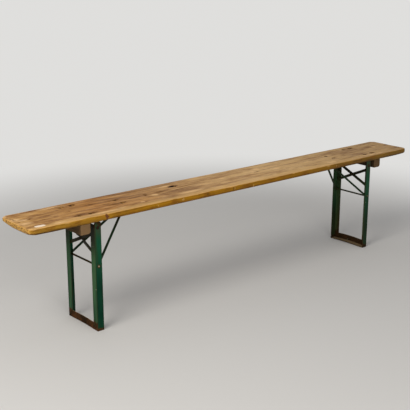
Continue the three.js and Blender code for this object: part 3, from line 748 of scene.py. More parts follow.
def roundOutline(points, radii, steps=5):
    outline = []
    count = len(points)
    for i, (point, radius) in enumerate(zip(points, radii)):
        if radius:
            outline += roundAt(point, points[i - 1], points[(i + 1) % count], radius, steps)
        else:
            outline.append(tuple(point))
    return outline


def rectangle(left, right, low, high):
    return [(left, low), (right, low), (right, high), (left, high)]


def spun(name, profile, sides=32):
    vertices, faces, rings = [], [], []
    for radius, height in profile:
        first = len(vertices)
        if radius < 1e-9:
            vertices.append((0, 0, height))
        else:
            around = [2 * math.pi * side / sides for side in range(sides)]
            vertices += [(radius * math.cos(a), radius * math.sin(a), height) for a in around]
        rings.append(range(first, len(vertices)))
    for low, high in zip(rings, rings[1:]):
        for i in range(sides):
            picks = ((low, i), (low, i + 1), (high, i + 1), (high, i))
            faces.append(dict.fromkeys(ring[k % len(ring)] for ring, k in picks))
    return pointOutwards(meshObject(name, vertices, faces))


def dome(radius, rim, crown, steps=7):
    points = []
    for i in range(steps):
        angle = math.pi / 2 * i / steps
        points.append((radius * math.cos(angle), rim + (crown - rim) * math.sin(angle)))
    return [*points, (0.0, crown)]


def turnMesh(obj, matrix):
    obj.data.transform(matrix)
    if matrix.determinant() < 0:
        obj.data.flip_normals()
    return obj


def shifted(x, y, z):
    return Matrix.Translation((x, y, z))


def rotated(degrees, axis):
    return Matrix.Rotation(math.radians(degrees), 4, axis)


def copyOf(obj, name, matrix):
    return turnMesh(addObject(name, obj.data.copy()), matrix)


def joinMeshes(name, parts):
    shape = bmesh.new()
    for part in parts:
        shape.from_mesh(part.data)
        bpy.data.objects.remove(part)
    mesh = bpy.data.meshes.new(name)
    shape.to_mesh(mesh)
    shape.free()
    return addObject(name, mesh)


# Turns an object's live modifiers into plain mesh.
def settle(obj):
    bpy.context.view_layer.update()
    seen = obj.evaluated_get(bpy.context.evaluated_depsgraph_get())
    mesh = bpy.data.meshes.new_from_object(seen)
    obj.modifiers.clear()
    obj.data = mesh
    return obj


def combine(obj, other, operation="DIFFERENCE"):
    change = obj.modifiers.new("combine", "BOOLEAN")
    change.operation = operation
    change.solver = "EXACT"
    change.object = other
    settle(obj)
    bpy.data.objects.remove(other)
    return obj


def bored(obj, radius, low, high, turn=Matrix(), x=0.0, y=0.0, z=0.0, sides=24):
    drill = spun("drill", [(0, low), (radius, low), (radius, high), (0, high)], sides)
    return combine(obj, turnMesh(drill, shifted(x, y, z) @ turn))


def pin(name, radius, headRadius, headHeight, low, high, sides=28):
    low, high = low - layout["gap"], high + layout["gap"]
    return spun(name, [
        *dome(headRadius, low, low - headHeight)[::-1], (radius, low),
        (radius, high), *dome(headRadius, high, high + headHeight),
    ], sides)


def softenEdges(obj, width, segments=2, angle=50):
    change = obj.modifiers.new("soften", "BEVEL")
    change.width = width
    change.segments = segments
    change.limit_method = "ANGLE"
    change.angle_limit = math.radians(angle)
    change.use_clamp_overlap = True
    return settle(obj)


def paintWith(obj, finish, angle=35):
    obj.data.materials.clear()
    obj.data.materials.append(finishes[finish])
    obj.data.shade_smooth()
    obj.data.set_sharp_from_angle(angle=math.radians(angle))


def dress(obj, finish, body, slotName, *nodes):
    paintWith(obj, finish)
    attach(obj, body)
    if nodes:
        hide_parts(*nodes)


def placePiece(obj, place, name, *looks):
    turnMesh(obj, place).name = name
    dress(obj, *looks)


# Marks how near each point is to a line of the given places, in a section across the piece.
def markEdges(obj, places, section, reach):
    mesh = obj.data
    spots = np.array(places)
    points = np.array([v.co for v in mesh.vertices])[:, section]
    away = np.sqrt(((points[:, None, :] - spots[None, :, :]) ** 2).sum(2)).min(1)
    wear = np.clip(1 - away / reach, 0, 1)
    mark = mesh.attributes.new("edgeWear", "FLOAT", "POINT")
    mark.data.foreach_set("value", wear.astype(np.float32))
    return obj


# Runs a Geometry Nodes tree on an object and keeps the mesh. The values are the tree's inputs,
# and grow makes the nodes between those and the finish.
def runTree(obj, name, finish, values, grow):
    tree = bpy.data.node_groups.new(name, "GeometryNodeTree")
    kinds = {float: "NodeSocketFloat", int: "NodeSocketInt"}
    wanted = {"Geometry": "NodeSocketGeometry"}
    for key, value in values.items():
        wanted[key] = kinds.get(type(value), "NodeSocketObject")
    sockets = {
        key: tree.interface.new_socket(key, in_out="INPUT", socket_type=kind)
        for key, kind in wanted.items()
    }
    tree.interface.new_socket("Geometry", in_out="OUTPUT", socket_type="NodeSocketGeometry")
    start = tree.nodes.new("NodeGroupInput")
    given = {key: Flow(start.outputs[key]) for key in wanted}
    real = flow(tree, "GeometryNodeRealizeInstances", 0, {0: grow(tree, given)})
    paint = {"Geometry": real, "Material": finishes[finish]}
    painted = flow(tree, "GeometryNodeSetMaterial", "Geometry", paint)
    plug(tree.nodes.new("NodeGroupOutput").inputs["Geometry"], painted)
    change = obj.modifiers.new(name, "NODES")
    change.node_group = tree
    for key, value in values.items():
        change[sockets[key].identifier] = value
    return settle(obj)


# A mode is an input of the node in newer releases, and a setting of it in older ones.
def chooseMode(made, mode):
    if "Mode" in made.inputs:
        made.inputs["Mode"].default_value = mode
    else:
        made.mode = mode.upper()


# Copies of a piece on every point, each turned a little.
def scatterCopies(name, source, points, turn, finish, seed):
    def grow(tree, given):
        spots = flow(tree, "GeometryNodeMeshToPoints", "Points", {"Mesh": given["Geometry"]})
        piece = flow(tree, "GeometryNodeObjectInfo", "Geometry", {"Object": given["Piece"]})
        limits = {"Seed": seed, 2: 0.0, 3: given["Turn"]}
        spin = flow(tree, "FunctionNodeRandomValue", 1, limits, data_type="FLOAT")
        return flow(tree, "GeometryNodeInstanceOnPoints", "Instances", {
            "Points": spots, "Instance": piece,
            "Rotation": flow(tree, "ShaderNodeCombineXYZ", 0, {"Z": spin}),
        })

    holder = meshObject(name, points, [])
    runTree(holder, "copiesOnPoints", finish, {"Piece": source, "Turn": turn}, grow)
    bpy.data.objects.remove(source)
    return holder


# A rod bent along a line, with its inner corners rounded.
def bentRod(name, points, radius, bend, finish):
    def grow(tree, given):
        line = flow(tree, "GeometryNodeMeshToCurve", "Curve", {"Mesh": given["Geometry"]})
        bent = addNode(tree, "GeometryNodeFilletCurve", {"Curve": line})
        chooseMode(bent, "Poly")
        plug(bent.inputs["Count"], 12)
        plug(bent.inputs["Radius"], given["Bend radius"])
        circle = {"Resolution": 24, "Radius": given["Rod radius"]}
        return flow(tree, "GeometryNodeCurveToMesh", "Mesh", {
            "Curve": Flow(bent.outputs["Curve"]), "Fill Caps": True,
            "Profile Curve": flow(tree, "GeometryNodeCurvePrimitiveCircle", "Curve", circle),
        })

    values = {"Rod radius": radius, "Bend radius": bend}
    return pointOutwards(runTree(lineObject(name, [points]), "bentRod", finish, values, grow))


# Weld beads along lines, as overlapping ripples.
def weldBeads(name, lines, s, finish, seed):
    def grow(tree, given):
        line = flow(tree, "GeometryNodeMeshToCurve", "Curve", {"Mesh": given["Geometry"]})
        steps = addNode(tree, "GeometryNodeCurveToPoints", {"Curve": line})
        chooseMode(steps, "Length")
        plug(steps.inputs["Length"], given["Ripple pitch"])
        limits = {2: s["least"], 3: s["most"], "Seed": given["Seed"]}
        vary = flow(tree, "FunctionNodeRandomValue", 1, limits, data_type="FLOAT")
        size = flow(tree, "ShaderNodeCombineXYZ", 0, {
            "X": given["Bead width"], "Y": given["Bead height"],
            "Z": given["Ripple pitch"] * s["overlap"],
        })
        varied = {0: size, "Scale": vary}
        ball = {"Radius": 0.5, "Subdivisions": 2}
        return flow(tree, "GeometryNodeInstanceOnPoints", "Instances", {
            "Points": Flow(steps.outputs["Points"]), "Rotation": Flow(steps.outputs["Rotation"]),
            "Instance": flow(tree, "GeometryNodeMeshIcoSphere", "Mesh", ball),
            "Scale": flow(tree, "ShaderNodeVectorMath", "Vector", varied, operation="SCALE"),
        })

    values = {"Bead width": s["width"], "Ripple pitch": s["pitch"], "Bead height": s["height"]}
    return runTree(lineObject(name, lines), "weldBead", finish, {**values, "Seed": seed}, grow)


# The plank: a grid box pulled onto a rounded board, its arrises worn unevenly.
plankShape = {
    "cornerRadius": 0.027,
    "arris": 0.0050,  # width of the fixed grid lines beside each edge
    "longArris": 0.0032,
    "endArris": 0.0066,
    "lowArris": 0.0030,
    "lowEndArris": 0.0085,
    "leastArris": 0.0022,
    "endFade": (0.030, 0.022),  # where the end's wear starts, and the length it grows over
    "wear": 0.0024,
    "fineWear": (0.0005, 0.0004),  # on the upper and the lower arris
    "waviness": 0.00025,
    "gridStep": 0.0075,
    "recessRadius": 0.0083,
    "recessDepth": 0.0037,
    "holeRadius": 0.0033,
    "widestTop": 0.0100,
    "widestLow": 0.0140,
    "middle": 0.0145,  # the grid line between the two arrises, above the underside
    # end, side, and how far each worn corner's underside is rubbed up
    "corners": ((-1, 1, 0.0110), (-1, -1, 0.0020), (1, -1, 0.0030), (1, 1, 0.0020)),
    "cornerReach": 0.060,
    "crackDrift": 0.0035,
    # X, side, half length and depth of each dent in the long arrises
    "dents": (
        (-0.765, -1, 0.007, 0.0015), (-0.318, -1, 0.012, 0.002), (0.262, -1, 0.006, 0.003),
        (0.905, -1, 0.016, 0.0026), (-0.93, 1, 0.014, 0.0022), (0.48, 1, 0.01, 0.0022),
        (-0.12, -1, 0.009, 0.0018), (0.715, -1, 0.008, 0.0022),
    ),
    # end, Y, length, half width and depth of each drying crack
    "cracks": (
        (-1, 0.031, 0.12, 0.0009, 0.01), (-1, -0.052, 0.055, 0.0006, 0.006),
        (1, 0.022, 0.095, 0.0009, 0.009), (1, -0.066, 0.05, 0.0006, 0.006),
        (1, 0.08, 0.04, 0.0005, 0.005),
    ),
}
arrisShares = (0, 0.2, 0.4, 0.6, 0.8, 1.0)  # of an arris's width, at each fixed grid line


def gridLines(half, arris, corner, step, extra=()):
    offsets = [arris * share for share in arrisShares]
    offsets += list(np.arange(arris + 0.004, corner, 0.0044)) + [corner]
    inner = half - corner
    count = max(2, round(2 * inner / step))
    lines = [-half + o for o in offsets] + [half - o for o in offsets]
    lines += list(np.linspace(-inner, inner, count + 1)) + list(extra)
    return np.unique(np.round(lines, 5))


def shellGrid(xs, ys, zs):
    index, vertices, faces = {}, [], []

    def face(i, j, k, *moves):
        corners = []
        for a, b, c in ((0, 0, 0), *moves):
            key = (i + a, j + b, k + c)
            if key not in index:
                index[key] = len(vertices)
                vertices.append((xs[key[0]], ys[key[1]], zs[key[2]]))
            corners.append(index[key])
        faces.append(corners)

    lastX, lastY, lastZ = len(xs) - 1, len(ys) - 1, len(zs) - 1
    for i in range(lastX):
        for j in range(lastY):
            for k in (0, lastZ):
                face(i, j, k, (1, 0, 0), (1, 1, 0), (0, 1, 0))
        for k in range(lastZ):
            for j in (0, lastY):
                face(i, j, k, (1, 0, 0), (1, 0, 1), (0, 0, 1))
    for j in range(lastY):
        for k in range(lastZ):
            for i in (0, lastX):
                face(i, j, k, (0, 1, 0), (0, 1, 1), (0, 0, 1))
    return np.array(vertices), faces


def pullOntoBoard(points, s):
    x, y, z = points.T
    radius = s["cornerRadius"]
    overX = np.maximum(np.abs(x) - (halfLength - radius), 0)
    overY = np.maximum(np.abs(y) - (halfWidth - radius), 0)
    reach = np.maximum(overX, overY)
    length = np.hypot(overX, overY)
    scale = np.where(length > 0, reach / np.where(length > 0, length, 1), 1)
    overX, overY = overX * scale, overY * scale
    plainX = np.minimum(np.abs(x), halfLength - radius)
    plainY = np.minimum(np.abs(y), halfWidth - radius)
    x, y = np.sign(x) * (plainX + overX), np.sign(y) * (plainY + overY)

    inset = np.where(
        reach > 0, radius - reach,
        np.minimum(halfLength - np.abs(x), halfWidth - np.abs(y)),
    )
    length = np.hypot(overX, overY)
    safe = np.where(length > 0, length, 1)
    outX = np.where(length > 0, overX / safe, 0) * np.sign(x)
    outY = np.where(length > 0, overY / safe, 0) * np.sign(y)

    wornTop = np.array([noise.noise(Vector((a * 9, b * 14, 0.3))) for a, b in zip(x, y)])
    fineTop = np.array([noise.noise(Vector((a * 60, b * 60, 4.0))) for a, b in zip(x, y)])
    fadeFrom, fadeRun = s["endFade"]
    atEnd = np.clip((np.abs(x) - halfLength + fadeFrom) / fadeRun, 0, 1)
    atEnd = atEnd * atEnd * (3 - 2 * atEnd)
    fineHigh, fineLow = s["fineWear"]
    topArris = s["longArris"] + (s["endArris"] - s["longArris"]) * atEnd
    top = topArris + s["wear"] * (0.3 + 0.7 * wornTop) + fineHigh * fineTop
    for place, side, half, depth in s["dents"]:
        near = np.exp(-(((x - place) / half) ** 2)) * (np.sign(y) == side)
        top = top + depth * near
    low = s["lowArris"] + (s["lowEndArris"] - s["lowArris"]) * atEnd + fineLow * fineTop
    rubbed = np.zeros_like(x)
    for end, side, rise in s["corners"]:
        far = np.hypot(x - end * halfLength, y - side * halfWidth)
        rubbed = rubbed + rise * np.exp(-((far / s["cornerReach"]) ** 2))
    middle = underside + s["middle"]
    arris = np.where(z > middle, np.minimum(top, s["widestTop"]), np.minimum(low, s["widestLow"]))
    arris = np.maximum(arris, s["leastArris"])
    face = np.where(z > middle, layout["seatHeight"], underside)
    depth = np.abs(face - z)

    # the fixed grid lines lie in the first arris width, so both distances are scaled to it
    def fitted(distance):
        near = distance < s["arris"]
        widened = distance * arris / s["arris"]
        blend = np.clip((distance - s["arris"]) / 0.012, 0, 1)
        beyond = np.maximum(distance, arris + (distance - s["arris"]) * 0.5)
        return np.where(near, widened, beyond * (1 - blend) + distance * blend)

    inset, oldInset = fitted(inset), inset
    depth = np.where(depth <= s["arris"] + 1e-9, depth * arris / s["arris"], depth)
    a, b = np.maximum(arris - inset, 0), np.maximum(arris - depth, 0)
    far = np.hypot(a, b)
    scale = np.where(far > 0, np.maximum(a, b) / np.where(far > 0, far, 1), 1)
    newInset = np.where(a > 0, arris - a * scale, inset)
    newDepth = np.where((a > 0) & (b > 0), arris - b * scale, depth)
    x = x - outX * (newInset - oldInset)
    y = y - outY * (newInset - oldInset)
    z = np.where(z > middle, face - newDepth, face + newDepth)
    z = layout["seatHeight"] - (layout["seatHeight"] - z) * (1 - rubbed / layout["plankThickness"])
    return np.stack([x, y, z], 1)


def crackWedge(stray, end, y, length, half, depth):
    seat, over = layout["seatHeight"], 0.002
    rings = []
    for share in [i / 6 for i in range(7)]:
        x = end * (halfLength + over - share * (length + over))
        drift = y + stray * noise.noise(Vector((x * 30, y * 90, 1.0)))
        wide = half * (1 - share) ** 0.8 + 0.00004
        deep = depth * (1 - share) ** 0.6 + 0.0002
        section = ((-wide, 0.001), (wide, 0.001), (0, -deep))
        rings.append([(x, drift + aside, seat + above) for aside, above in section])
    return skin("crack", rings)


# X, Y and the height of the face that the nut is drawn up to
boltPlaces = {
    "hinge": (layout["hingeX"] + 0.008, layout["boltRowY"], underside - 0.0033),
    "batten": (0.863, layout["boltRowY"], underside - 0.0403),
    "catch": (layout["catchX"] + 0.009, 0.025, underside - 0.0028),
}


def boltPoints(kind):
    x, y, _ = boltPlaces[kind]
    return [(side * x, edge * y, 0) for _, side in ends for _, edge in edges]


def makePlank(s):
    seat = layout["seatHeight"]
    arris, middle = s["arris"], underside + s["middle"]
    aside = np.arange(-0.012, 0.0121, 0.003)  # closer grid lines round each dent
    dense = [place + shift for place, *_ in s["dents"] for shift in aside]
    xs = gridLines(halfLength, arris, s["cornerRadius"], s["gridStep"], dense)
    ys = gridLines(halfWidth, arris, s["cornerRadius"], s["gridStep"])
    arc = [arris * share for share in arrisShares]
    zs = np.array([underside + o for o in arc] + [middle] + [seat - o for o in arc[::-1]])
    points, faces = shellGrid(xs, ys, zs)
    points = pullOntoBoard(points, s)
    top = points[:, 2] > seat - 0.0002
    sag = np.array([noise.noise(Vector((p[0] * 2.2, p[1] * 9, 7.0))) for p in points])
    points[:, 2] -= np.where(top, s["waviness"] * (0.5 + 0.5 * np.abs(sag)), 0)
    board = pointOutwards(meshObject("plank", points, faces))
    hole, wide = s["holeRadius"], s["recessRadius"]
    low, shelf, high = underside - overrun, seat - s["recessDepth"], seat + overrun
    profile = [(0, low), (hole, low), (hole, shelf), (wide, shelf), (wide, high), (0, high)]
    cutter = spun("recess", profile, 28)
    places = [p for kind in boltPlaces for p in boltPoints(kind)]
    cutters = joinMeshes("recesses", [copyOf(cutter, "recess", shifted(*p)) for p in places])
    bpy.data.objects.remove(cutter)
    combine(board, cutters)

    hollow = meshObject("hollow", [], [])
    shape = bmesh.new()
    bmesh.ops.create_icosphere(shape, subdivisions=4, radius=1.0)
    for vertex in shape.verts:
        x, y, z = vertex.co
        ragged = 1 + 0.22 * noise.noise(vertex.co * 1.6) + 0.08 * noise.noise(vertex.co * 5)
        slope = 1 + 0.25 * x * (1 if y > 0 else 0.4)
        vertex.co = (
            x * knotHole["halfLength"] * ragged, y * knotHole["halfWidth"] * ragged * slope,
            z * knotHole["depth"],
        )
    shape.to_mesh(hollow.data)
    shape.free()
    turnMesh(hollow, shifted(knotHole["x"], knotHole["y"], seat) @ rotated(-6, "Z"))
    combine(board, hollow)
    for crack in s["cracks"]:
        combine(board, crackWedge(s["crackDrift"], *crack))
    dress(board, "plank", "seat", "lacquered_wood", "seat_board")


makePlank(plankShape)
print("plank made")

# Battens, sawn from one bar: the rounded lower edge is on the same side at both ends.
battenShape = {
    "width": 0.044,
    "depth": 0.040,
    "endInset": 0.0015,
    "rounding": 0.011,
    "chamfer": 0.002,
    "corner": 0.0008,
    "roughness": 0.0003,
    "sawMarks": 0.0006,
    "holeRadius": 0.0033,
}


def makeBatten(name, x, s):
    top = underside - layout["gap"]
    low = top - s["depth"]
    left, right = x - s["width"] / 2, x + s["width"] / 2
    radii = [s["chamfer"], s["rounding"], s["corner"], s["corner"]]
    outline = roundOutline(rectangle(left, right, low, top), radii, 6)
    half = halfWidth - s["endInset"]
    bar = blockAlongY(name, outline, -half, half, 40)
    for vertex in bar.data.vertices:
        centre = Vector((x, vertex.co.y, (top + low) / 2))
        rough = abs(noise.noise(vertex.co * 55)) + 0.5 * abs(noise.noise(vertex.co * 210))
        vertex.co -= (vertex.co - centre).normalized() * s["roughness"] * rough
        sawn = abs(noise.noise(Vector((vertex.co.x * 90, 3.0, vertex.co.z * 90))))
        if abs(vertex.co.y) > half - 0.0001:
            vertex.co.y -= math.copysign(s["sawMarks"] * sawn, vertex.co.y)
    for _, edge in edges:
        y = edge * layout["boltRowY"]
        bored(bar, s["holeRadius"], low - overrun, top + overrun, x=x, y=y, sides=20)
    return bar


for endName, side in ends:
    bar = makeBatten(f"{endName}Batten", side * boltPlaces["batten"][0], battenShape)
    dress(bar, "batten", "seat", "bare_wood", f"{endName}_batten")
print("battens made")

# Bolts with low domed heads, and chamfered hexagon nuts.
boltShape = {
    "radius": 0.003,
    "headRadius": 0.008,
    "headHeight": 0.003,
    "sink": 0.0004,
    "tail": 0.0015,
    "nutFlats": 0.010,
    "nutHeight": 0.005,
    "boltTurn": 6.28,
    "nutTurn": 1.0,
}


def makeBolt(clamped, s):
    crown = layout["seatHeight"] - s["sink"]
    seat = crown - s["headHeight"]
    tip = clamped - layout["gap"] - s["nutHeight"] - s["tail"]
    rim = seat + s["headHeight"] / 3
    return spun("bolt", [
        (0, tip), (s["radius"] - 0.0006, tip), (s["radius"], tip + 0.0006), (s["radius"], seat),
        (s["headRadius"] - 0.0002, seat), (s["headRadius"], seat + 0.0002),
        *dome(s["headRadius"], rim, crown),
    ], 28)


def makeNut(clamped, s):
    top = clamped - layout["gap"]
    low = top - s["nutHeight"]
    corner = s["nutFlats"] / 2 / math.cos(math.pi / 6)
    angles = [math.pi / 3 * i for i in range(6)]
    outline = [(corner * math.cos(a), corner * math.sin(a)) for a in angles]
    nut = blockAlongZ("nut", outline, low, top)
    flat, wide, slope = s["nutFlats"] / 2 - 0.0002, corner + 0.0002, 0.0008
    profile = [
        (0, low), (flat, low), (wide, low + slope), (wide, top - slope), (flat, top), (0, top),
    ]
    combine(nut, spun("chamfer", profile), "INTERSECT")
    return bored(nut, s["radius"] + layout["gap"], low - 0.001, top + 0.001, sides=20)


def namesOf(kind, what):
    return [f"{endName}_{edge}_{kind}_{what}" for endName, _ in ends for edge, _ in edges]


for kind, (_, _, clamped) in boltPlaces.items():
    for what, make, turn, finish, seed in (
        ("bolt", makeBolt, boltShape["boltTurn"], "rustySteel", 3),
        ("nut", makeNut, boltShape["nutTurn"], "steel", 5),
    ):
        source, name = make(clamped, boltShape), f"{kind}{what.capitalize()}s"
        made = scatterCopies(name, source, boltPoints(kind), turn, finish, seed)
        dress(made, finish, "seat", "dark_steel", *namesOf(kind, what))
print("bolts and nuts made")


# Pieces of one end are made about the hinge axis of the right end, and turned into place.
def endPlace(side, height=layout["hingeHeight"], x=layout["hingeX"]):
    return shifted(side * x, 0, height) @ rotated(0 if side > 0 else 180, "Z")


def edgeName(localSide, side):
    return "front" if localSide * side < 0 else "back"


# Legs of angle iron, with rolled toes and root, mitred onto the foot bar.
ironShape = {
    "toe": 0.0014,
    "innerToe": 0.00135,
    "root": 0.0030,
    "heel": 0.0008,
    "outerToe": 0.0004,
    "topRadius": 0.024,
    "endTop": 0.013,  # top of the end flange above the hinge axis
    "holeRadius": 0.0043,
    "archRise": 0.003,
    "archSteps": 12,
    "edgeReach": 0.004,
}


def angleOutline(s, inner, outer, tip):
    toe, root, heel, outerToe = s["toe"], s["root"], s["heel"], s["outerToe"]
    points = [
        (-halfFlange, inner), (-halfFlange + nearEdge, inner), (endInner, inner), (endInner, tip),
        (halfFlange, tip), (halfFlange, tip + nearEdge), (halfFlange, outer - nearEdge),
        (halfFlange, outer), (halfFlange - nearEdge, outer), (-halfFlange + nearEdge, outer),
        (-halfFlange, outer),
    ]
    return roundOutline(points, [s["innerToe"], 0, root, toe, outerToe, 0, 0, heel, 0, 0, outerToe])


def makeLeg(s):
    half, flange = layout["frameHalf"], layout["flange"]
    floor = -layout["hingeHeight"]
    outline = angleOutline(s, sideInner, half, half - flange)
    leg = blockAlongZ("leg", outline, floor - 0.001, s["topRadius"] + 0.003)
    radius = s["topRadius"]
    shoulder = math.sqrt(radius ** 2 - halfFlange ** 2)
    first = math.acos(halfFlange / radius)
    arc = arcOf(radius, math.pi - first, first, 25)
    high, wide = radius + 0.010, halfFlange + overrun
    tip, outside = half - flange, half + overrun
    topCut = [(wide, shoulder), (wide, high), (-wide, high), (-wide, shoulder), *arc]
    combine(leg, blockAlongY("cut", topCut, sideInner - 0.001, outside))
    endCut = rectangle(0.004, wide, tip - overrun, sideInner)
    combine(leg, blockAlongZ("cut", endCut, s["endTop"], high))
    joint = floor + layout["gap"] * math.sqrt(2)
    mitre = [
        (tip - overrun, floor - overrun), (outside, floor - overrun),
        (outside, joint - overrun), (tip - overrun, joint + flange + overrun),
    ]
    combine(leg, blockAlongX("cut", mitre, -wide, wide))
    for height in (0, layout["axleHeight"] - layout["hingeHeight"]):
        bored(leg, s["holeRadius"], -outside, -sideInner + overrun, rotated(90, "X"), z=height)
    corners = [
        (-halfFlange, sideInner), (-halfFlange, half), (halfFlange, half), (halfFlange, tip),
        (endInner, tip),
    ]
    return markEdges(leg, corners, (0, 1), s["edgeReach"])


def archStations(s):
    flat = layout["frameHalf"] - layout["flange"]
    end = layout["frameHalf"] + 0.002
    shares = np.linspace(-1, 1, 2 * s["archSteps"] + 1)
    arch = [(flat * share, s["archRise"] * (1 - share ** 2)) for share in shares]
    return [(-end, 0.0), *arch, (end, 0.0)]


def makeFootBar(s):
    flange, thick, half = layout["flange"], layout["iron"], layout["frameHalf"]
    toe, root, heel, outerToe = s["toe"], s["root"], s["heel"], s["outerToe"]
    outline = roundOutline([
        (-halfFlange, 0), (-halfFlange + nearEdge, 0), (halfFlange - nearEdge, 0),
        (halfFlange, 0), (halfFlange, nearEdge), (halfFlange, flange - nearEdge),
        (halfFlange, flange), (endInner, flange), (endInner, thick), (-halfFlange, thick),
    ], [outerToe, 0, 0, heel, 0, 0, outerToe, toe, root, toe])
    rings = [[(x, y, z + lift) for x, z in outline] for y, lift in archStations(s)]
    bar = skin("footBar", rings)
    over, beyond, high = 0.002, 0.02, 0.05
    mitre = [
        (half + over, -over), (half + beyond, -over), (half + beyond, high), (half - high, high),
    ]
    for side in (-1, 1):
        cut = [(side * y, z) for y, z in mitre]
        combine(bar, blockAlongX("cut", cut, -beyond, beyond))
    corners = [(-halfFlange, 0), (halfFlange, 0), (halfFlange, flange), (-halfFlange, thick)]
    markEdges(bar, corners, (0, 2), s["edgeReach"])
    return turnMesh(bar, shifted(0, 0, -layout["hingeHeight"]))


leg = makeLeg(ironShape)
for endName, side in ends:
    for localSide in (-1, 1):
        edge = edgeName(localSide, side)
        place = endPlace(side) @ Matrix.Diagonal((1, localSide, 1, 1))
        made = copyOf(leg, f"{endName}{edge.capitalize()}Leg", place)
        dress(made, "leg", f"{endName}_frame", "green_paint", f"{endName}_{edge}_leg")
footBar = makeFootBar(ironShape)
for endName, side in ends:
    made = copyOf(footBar, f"{endName}FootBar", endPlace(side))
    dress(made, "foot", f"{endName}_frame", "rusty_iron", f"{endName}_foot_bar")
for used in (leg, footBar):
    bpy.data.objects.remove(used)
print("legs and foot bars made")

# Cross brace of two flat bars with a rivet where they cross.
braceShape = {
    "width": 0.014,
    "thickness": 0.004,
    "drop": 0.066,  # from the hinge axis to the crossing
    "rise": 0.084,
    "endInset": 0.003,
    "jogRun": 0.009,
    "edgeReach": 0.0025,
    "softness": 0.0007,
    "rivet": (0.003, 0.005, 0.002),  # radius, head radius, head height
}


def stripOutline(points, thickness):
    line = [Vector(p) for p in points]
    low, high = [], []
    for i, point in enumerate(line):
        into = (point - line[i - 1]).normalized() if i else (line[1] - point).normalized()
        out = (line[i + 1] - point).normalized() if i < len(line) - 1 else into
        middle = (into + out).normalized()
        normal = Vector((-middle.y, middle.x))
        reach = thickness / 2 / middle.dot(into)
        low.append(tuple(point - normal * reach))
        high.append(tuple(point + normal * reach))
    return low + high[::-1]


def makeBraceBar(s, tilt, jog):
    thick, width = s["thickness"], s["width"]
    slope = math.atan2(s["rise"], 2 * layout["frameHalf"] - layout["flange"])
    layer = endInner - layout["gap"]
    middle = layer - thick / 2
    half = (sideInner - s["endInset"] - width / 2 * math.sin(slope)) / math.cos(slope)
    if jog:
        flat = width / 2 / math.tan(slope) + thick / 2
        rise = [(-flat - s["jogRun"], -middle), (-flat, jog - middle)]
        line = [(-half, -middle), *rise, *[(-y, x) for y, x in rise[::-1]], (half, -middle)]
    else:
        line = [(-half, -middle), (half, -middle)]
    bar = block("bar", stripOutline(line, thick), -width / 2, width / 2, (0, 1, 0), (-1, 0, 0))
    bored(bar, s["rivet"][0] + layout["gap"], -0.02, 0.02, rotated(90, "Y"))
    softenEdges(bar, s["softness"])
    markEdges(bar, [(-width / 2, 0), (width / 2, 0)], (2, 2), s["edgeReach"])
    return turnMesh(bar, Matrix.Rotation(slope * tilt, 4, "X"))


def makeBraceRivet(s):
    layer = endInner - layout["gap"]
    low = layer - 2 * s["thickness"] - layout["gap"]
    return turnMesh(pin("rivet", *s["rivet"], low, layer, 20), rotated(90, "Y"))


for endName, side in ends:
    place = endPlace(side, layout["hingeHeight"] - braceShape["drop"])
    straight = makeBraceBar(braceShape, 1, 0)
    stepped = makeBraceBar(braceShape, -1, braceShape["thickness"] + layout["gap"])
    for piece, name, finish, node in (
        (straight, "StraightBrace", "brace", "brace_bar_straight"),
        (stepped, "SteppedBrace", "brace", "brace_bar_stepped"),
        (makeBraceRivet(braceShape), "BraceRivet", "rustySteel", "brace_rivet"),
    ):
        looks = (finish, f"{endName}_frame", "rusty_iron", f"{endName}_{node}")
        placePiece(piece, place, endName + name, *looks)
print("braces made")

# Axle rods, and the bows of round bar that hang on them.
rodShape = {
    "axle": (0.004, 0.007, 0.0026),  # radius, head radius, head height
    "bowRadius": 0.005,
    "bowLength": 0.25191,
    "bowTopHalf": 0.014,
    "bowBend": 0.012,
    "bowLean": 44.0,
    "eyeRadius": 0.010,
    "eyeThickness": 0.008,
    "eyeInset": 0.001,
    "eyeSoftness": 0.0012,
    "boreRadius": 0.0043,
}


def makeBow(s):
    eyeY = sideInner - s["eyeInset"] - s["eyeThickness"] / 2
    length, half = s["bowLength"], s["bowTopHalf"]
    path = [(0, -eyeY, 0), (-length, -half, 0), (-length, half, 0), (0, eyeY, 0)]
    bow = bentRod("bow", path, s["bowRadius"], s["bowBend"], "bow")
    thick, wide, soft = s["eyeThickness"] / 2, s["eyeRadius"], s["eyeSoftness"]
    upper = [(wide, thick - soft), (wide - soft, thick), (0, thick)]
    for side in (-1, 1):
        eye = spun("eye", [*[(radius, -height) for radius, height in upper[::-1]], *upper])
        combine(bow, turnMesh(eye, shifted(0, side * eyeY, 0) @ rotated(90, "X")), "UNION")
    bored(bow, s["boreRadius"], -sideInner, sideInner, rotated(90, "X"))
    return turnMesh(bow, rotated(s["bowLean"], "Y"))


def makeAxle(s):
    half = layout["frameHalf"]
    return turnMesh(pin("rod", *s["axle"], -half, half), rotated(90, "X"))


for endName, side in ends:
    place = endPlace(side, layout["axleHeight"])
    looks = ("bow", f"{endName}_bow", "green_paint", f"{endName}_bow_strut")
    placePiece(makeBow(rodShape), place, f"{endName}Bow", *looks)
    looks = ("axle", f"{endName}_frame", "rusty_iron", f"{endName}_axle_rod")
    placePiece(makeAxle(rodShape), place, f"{endName}Axle", *looks)
print("bows and axles made")

# Hinge brackets bent from plate, each with its rivet.
bracketShape = {
    "thickness": 0.003,
    "earRadius": 0.011,
    "innerReach": 0.017,
    "outerReach": 0.0357,
    "boltOffset": 0.008,
    "footInner": 0.0585,
    "corner": 0.006,
    "bend": 0.0028,
    "softness": 0.0004,
    "rivet": (0.004, 0.0075, 0.0026),  # radius, head radius, head height
}


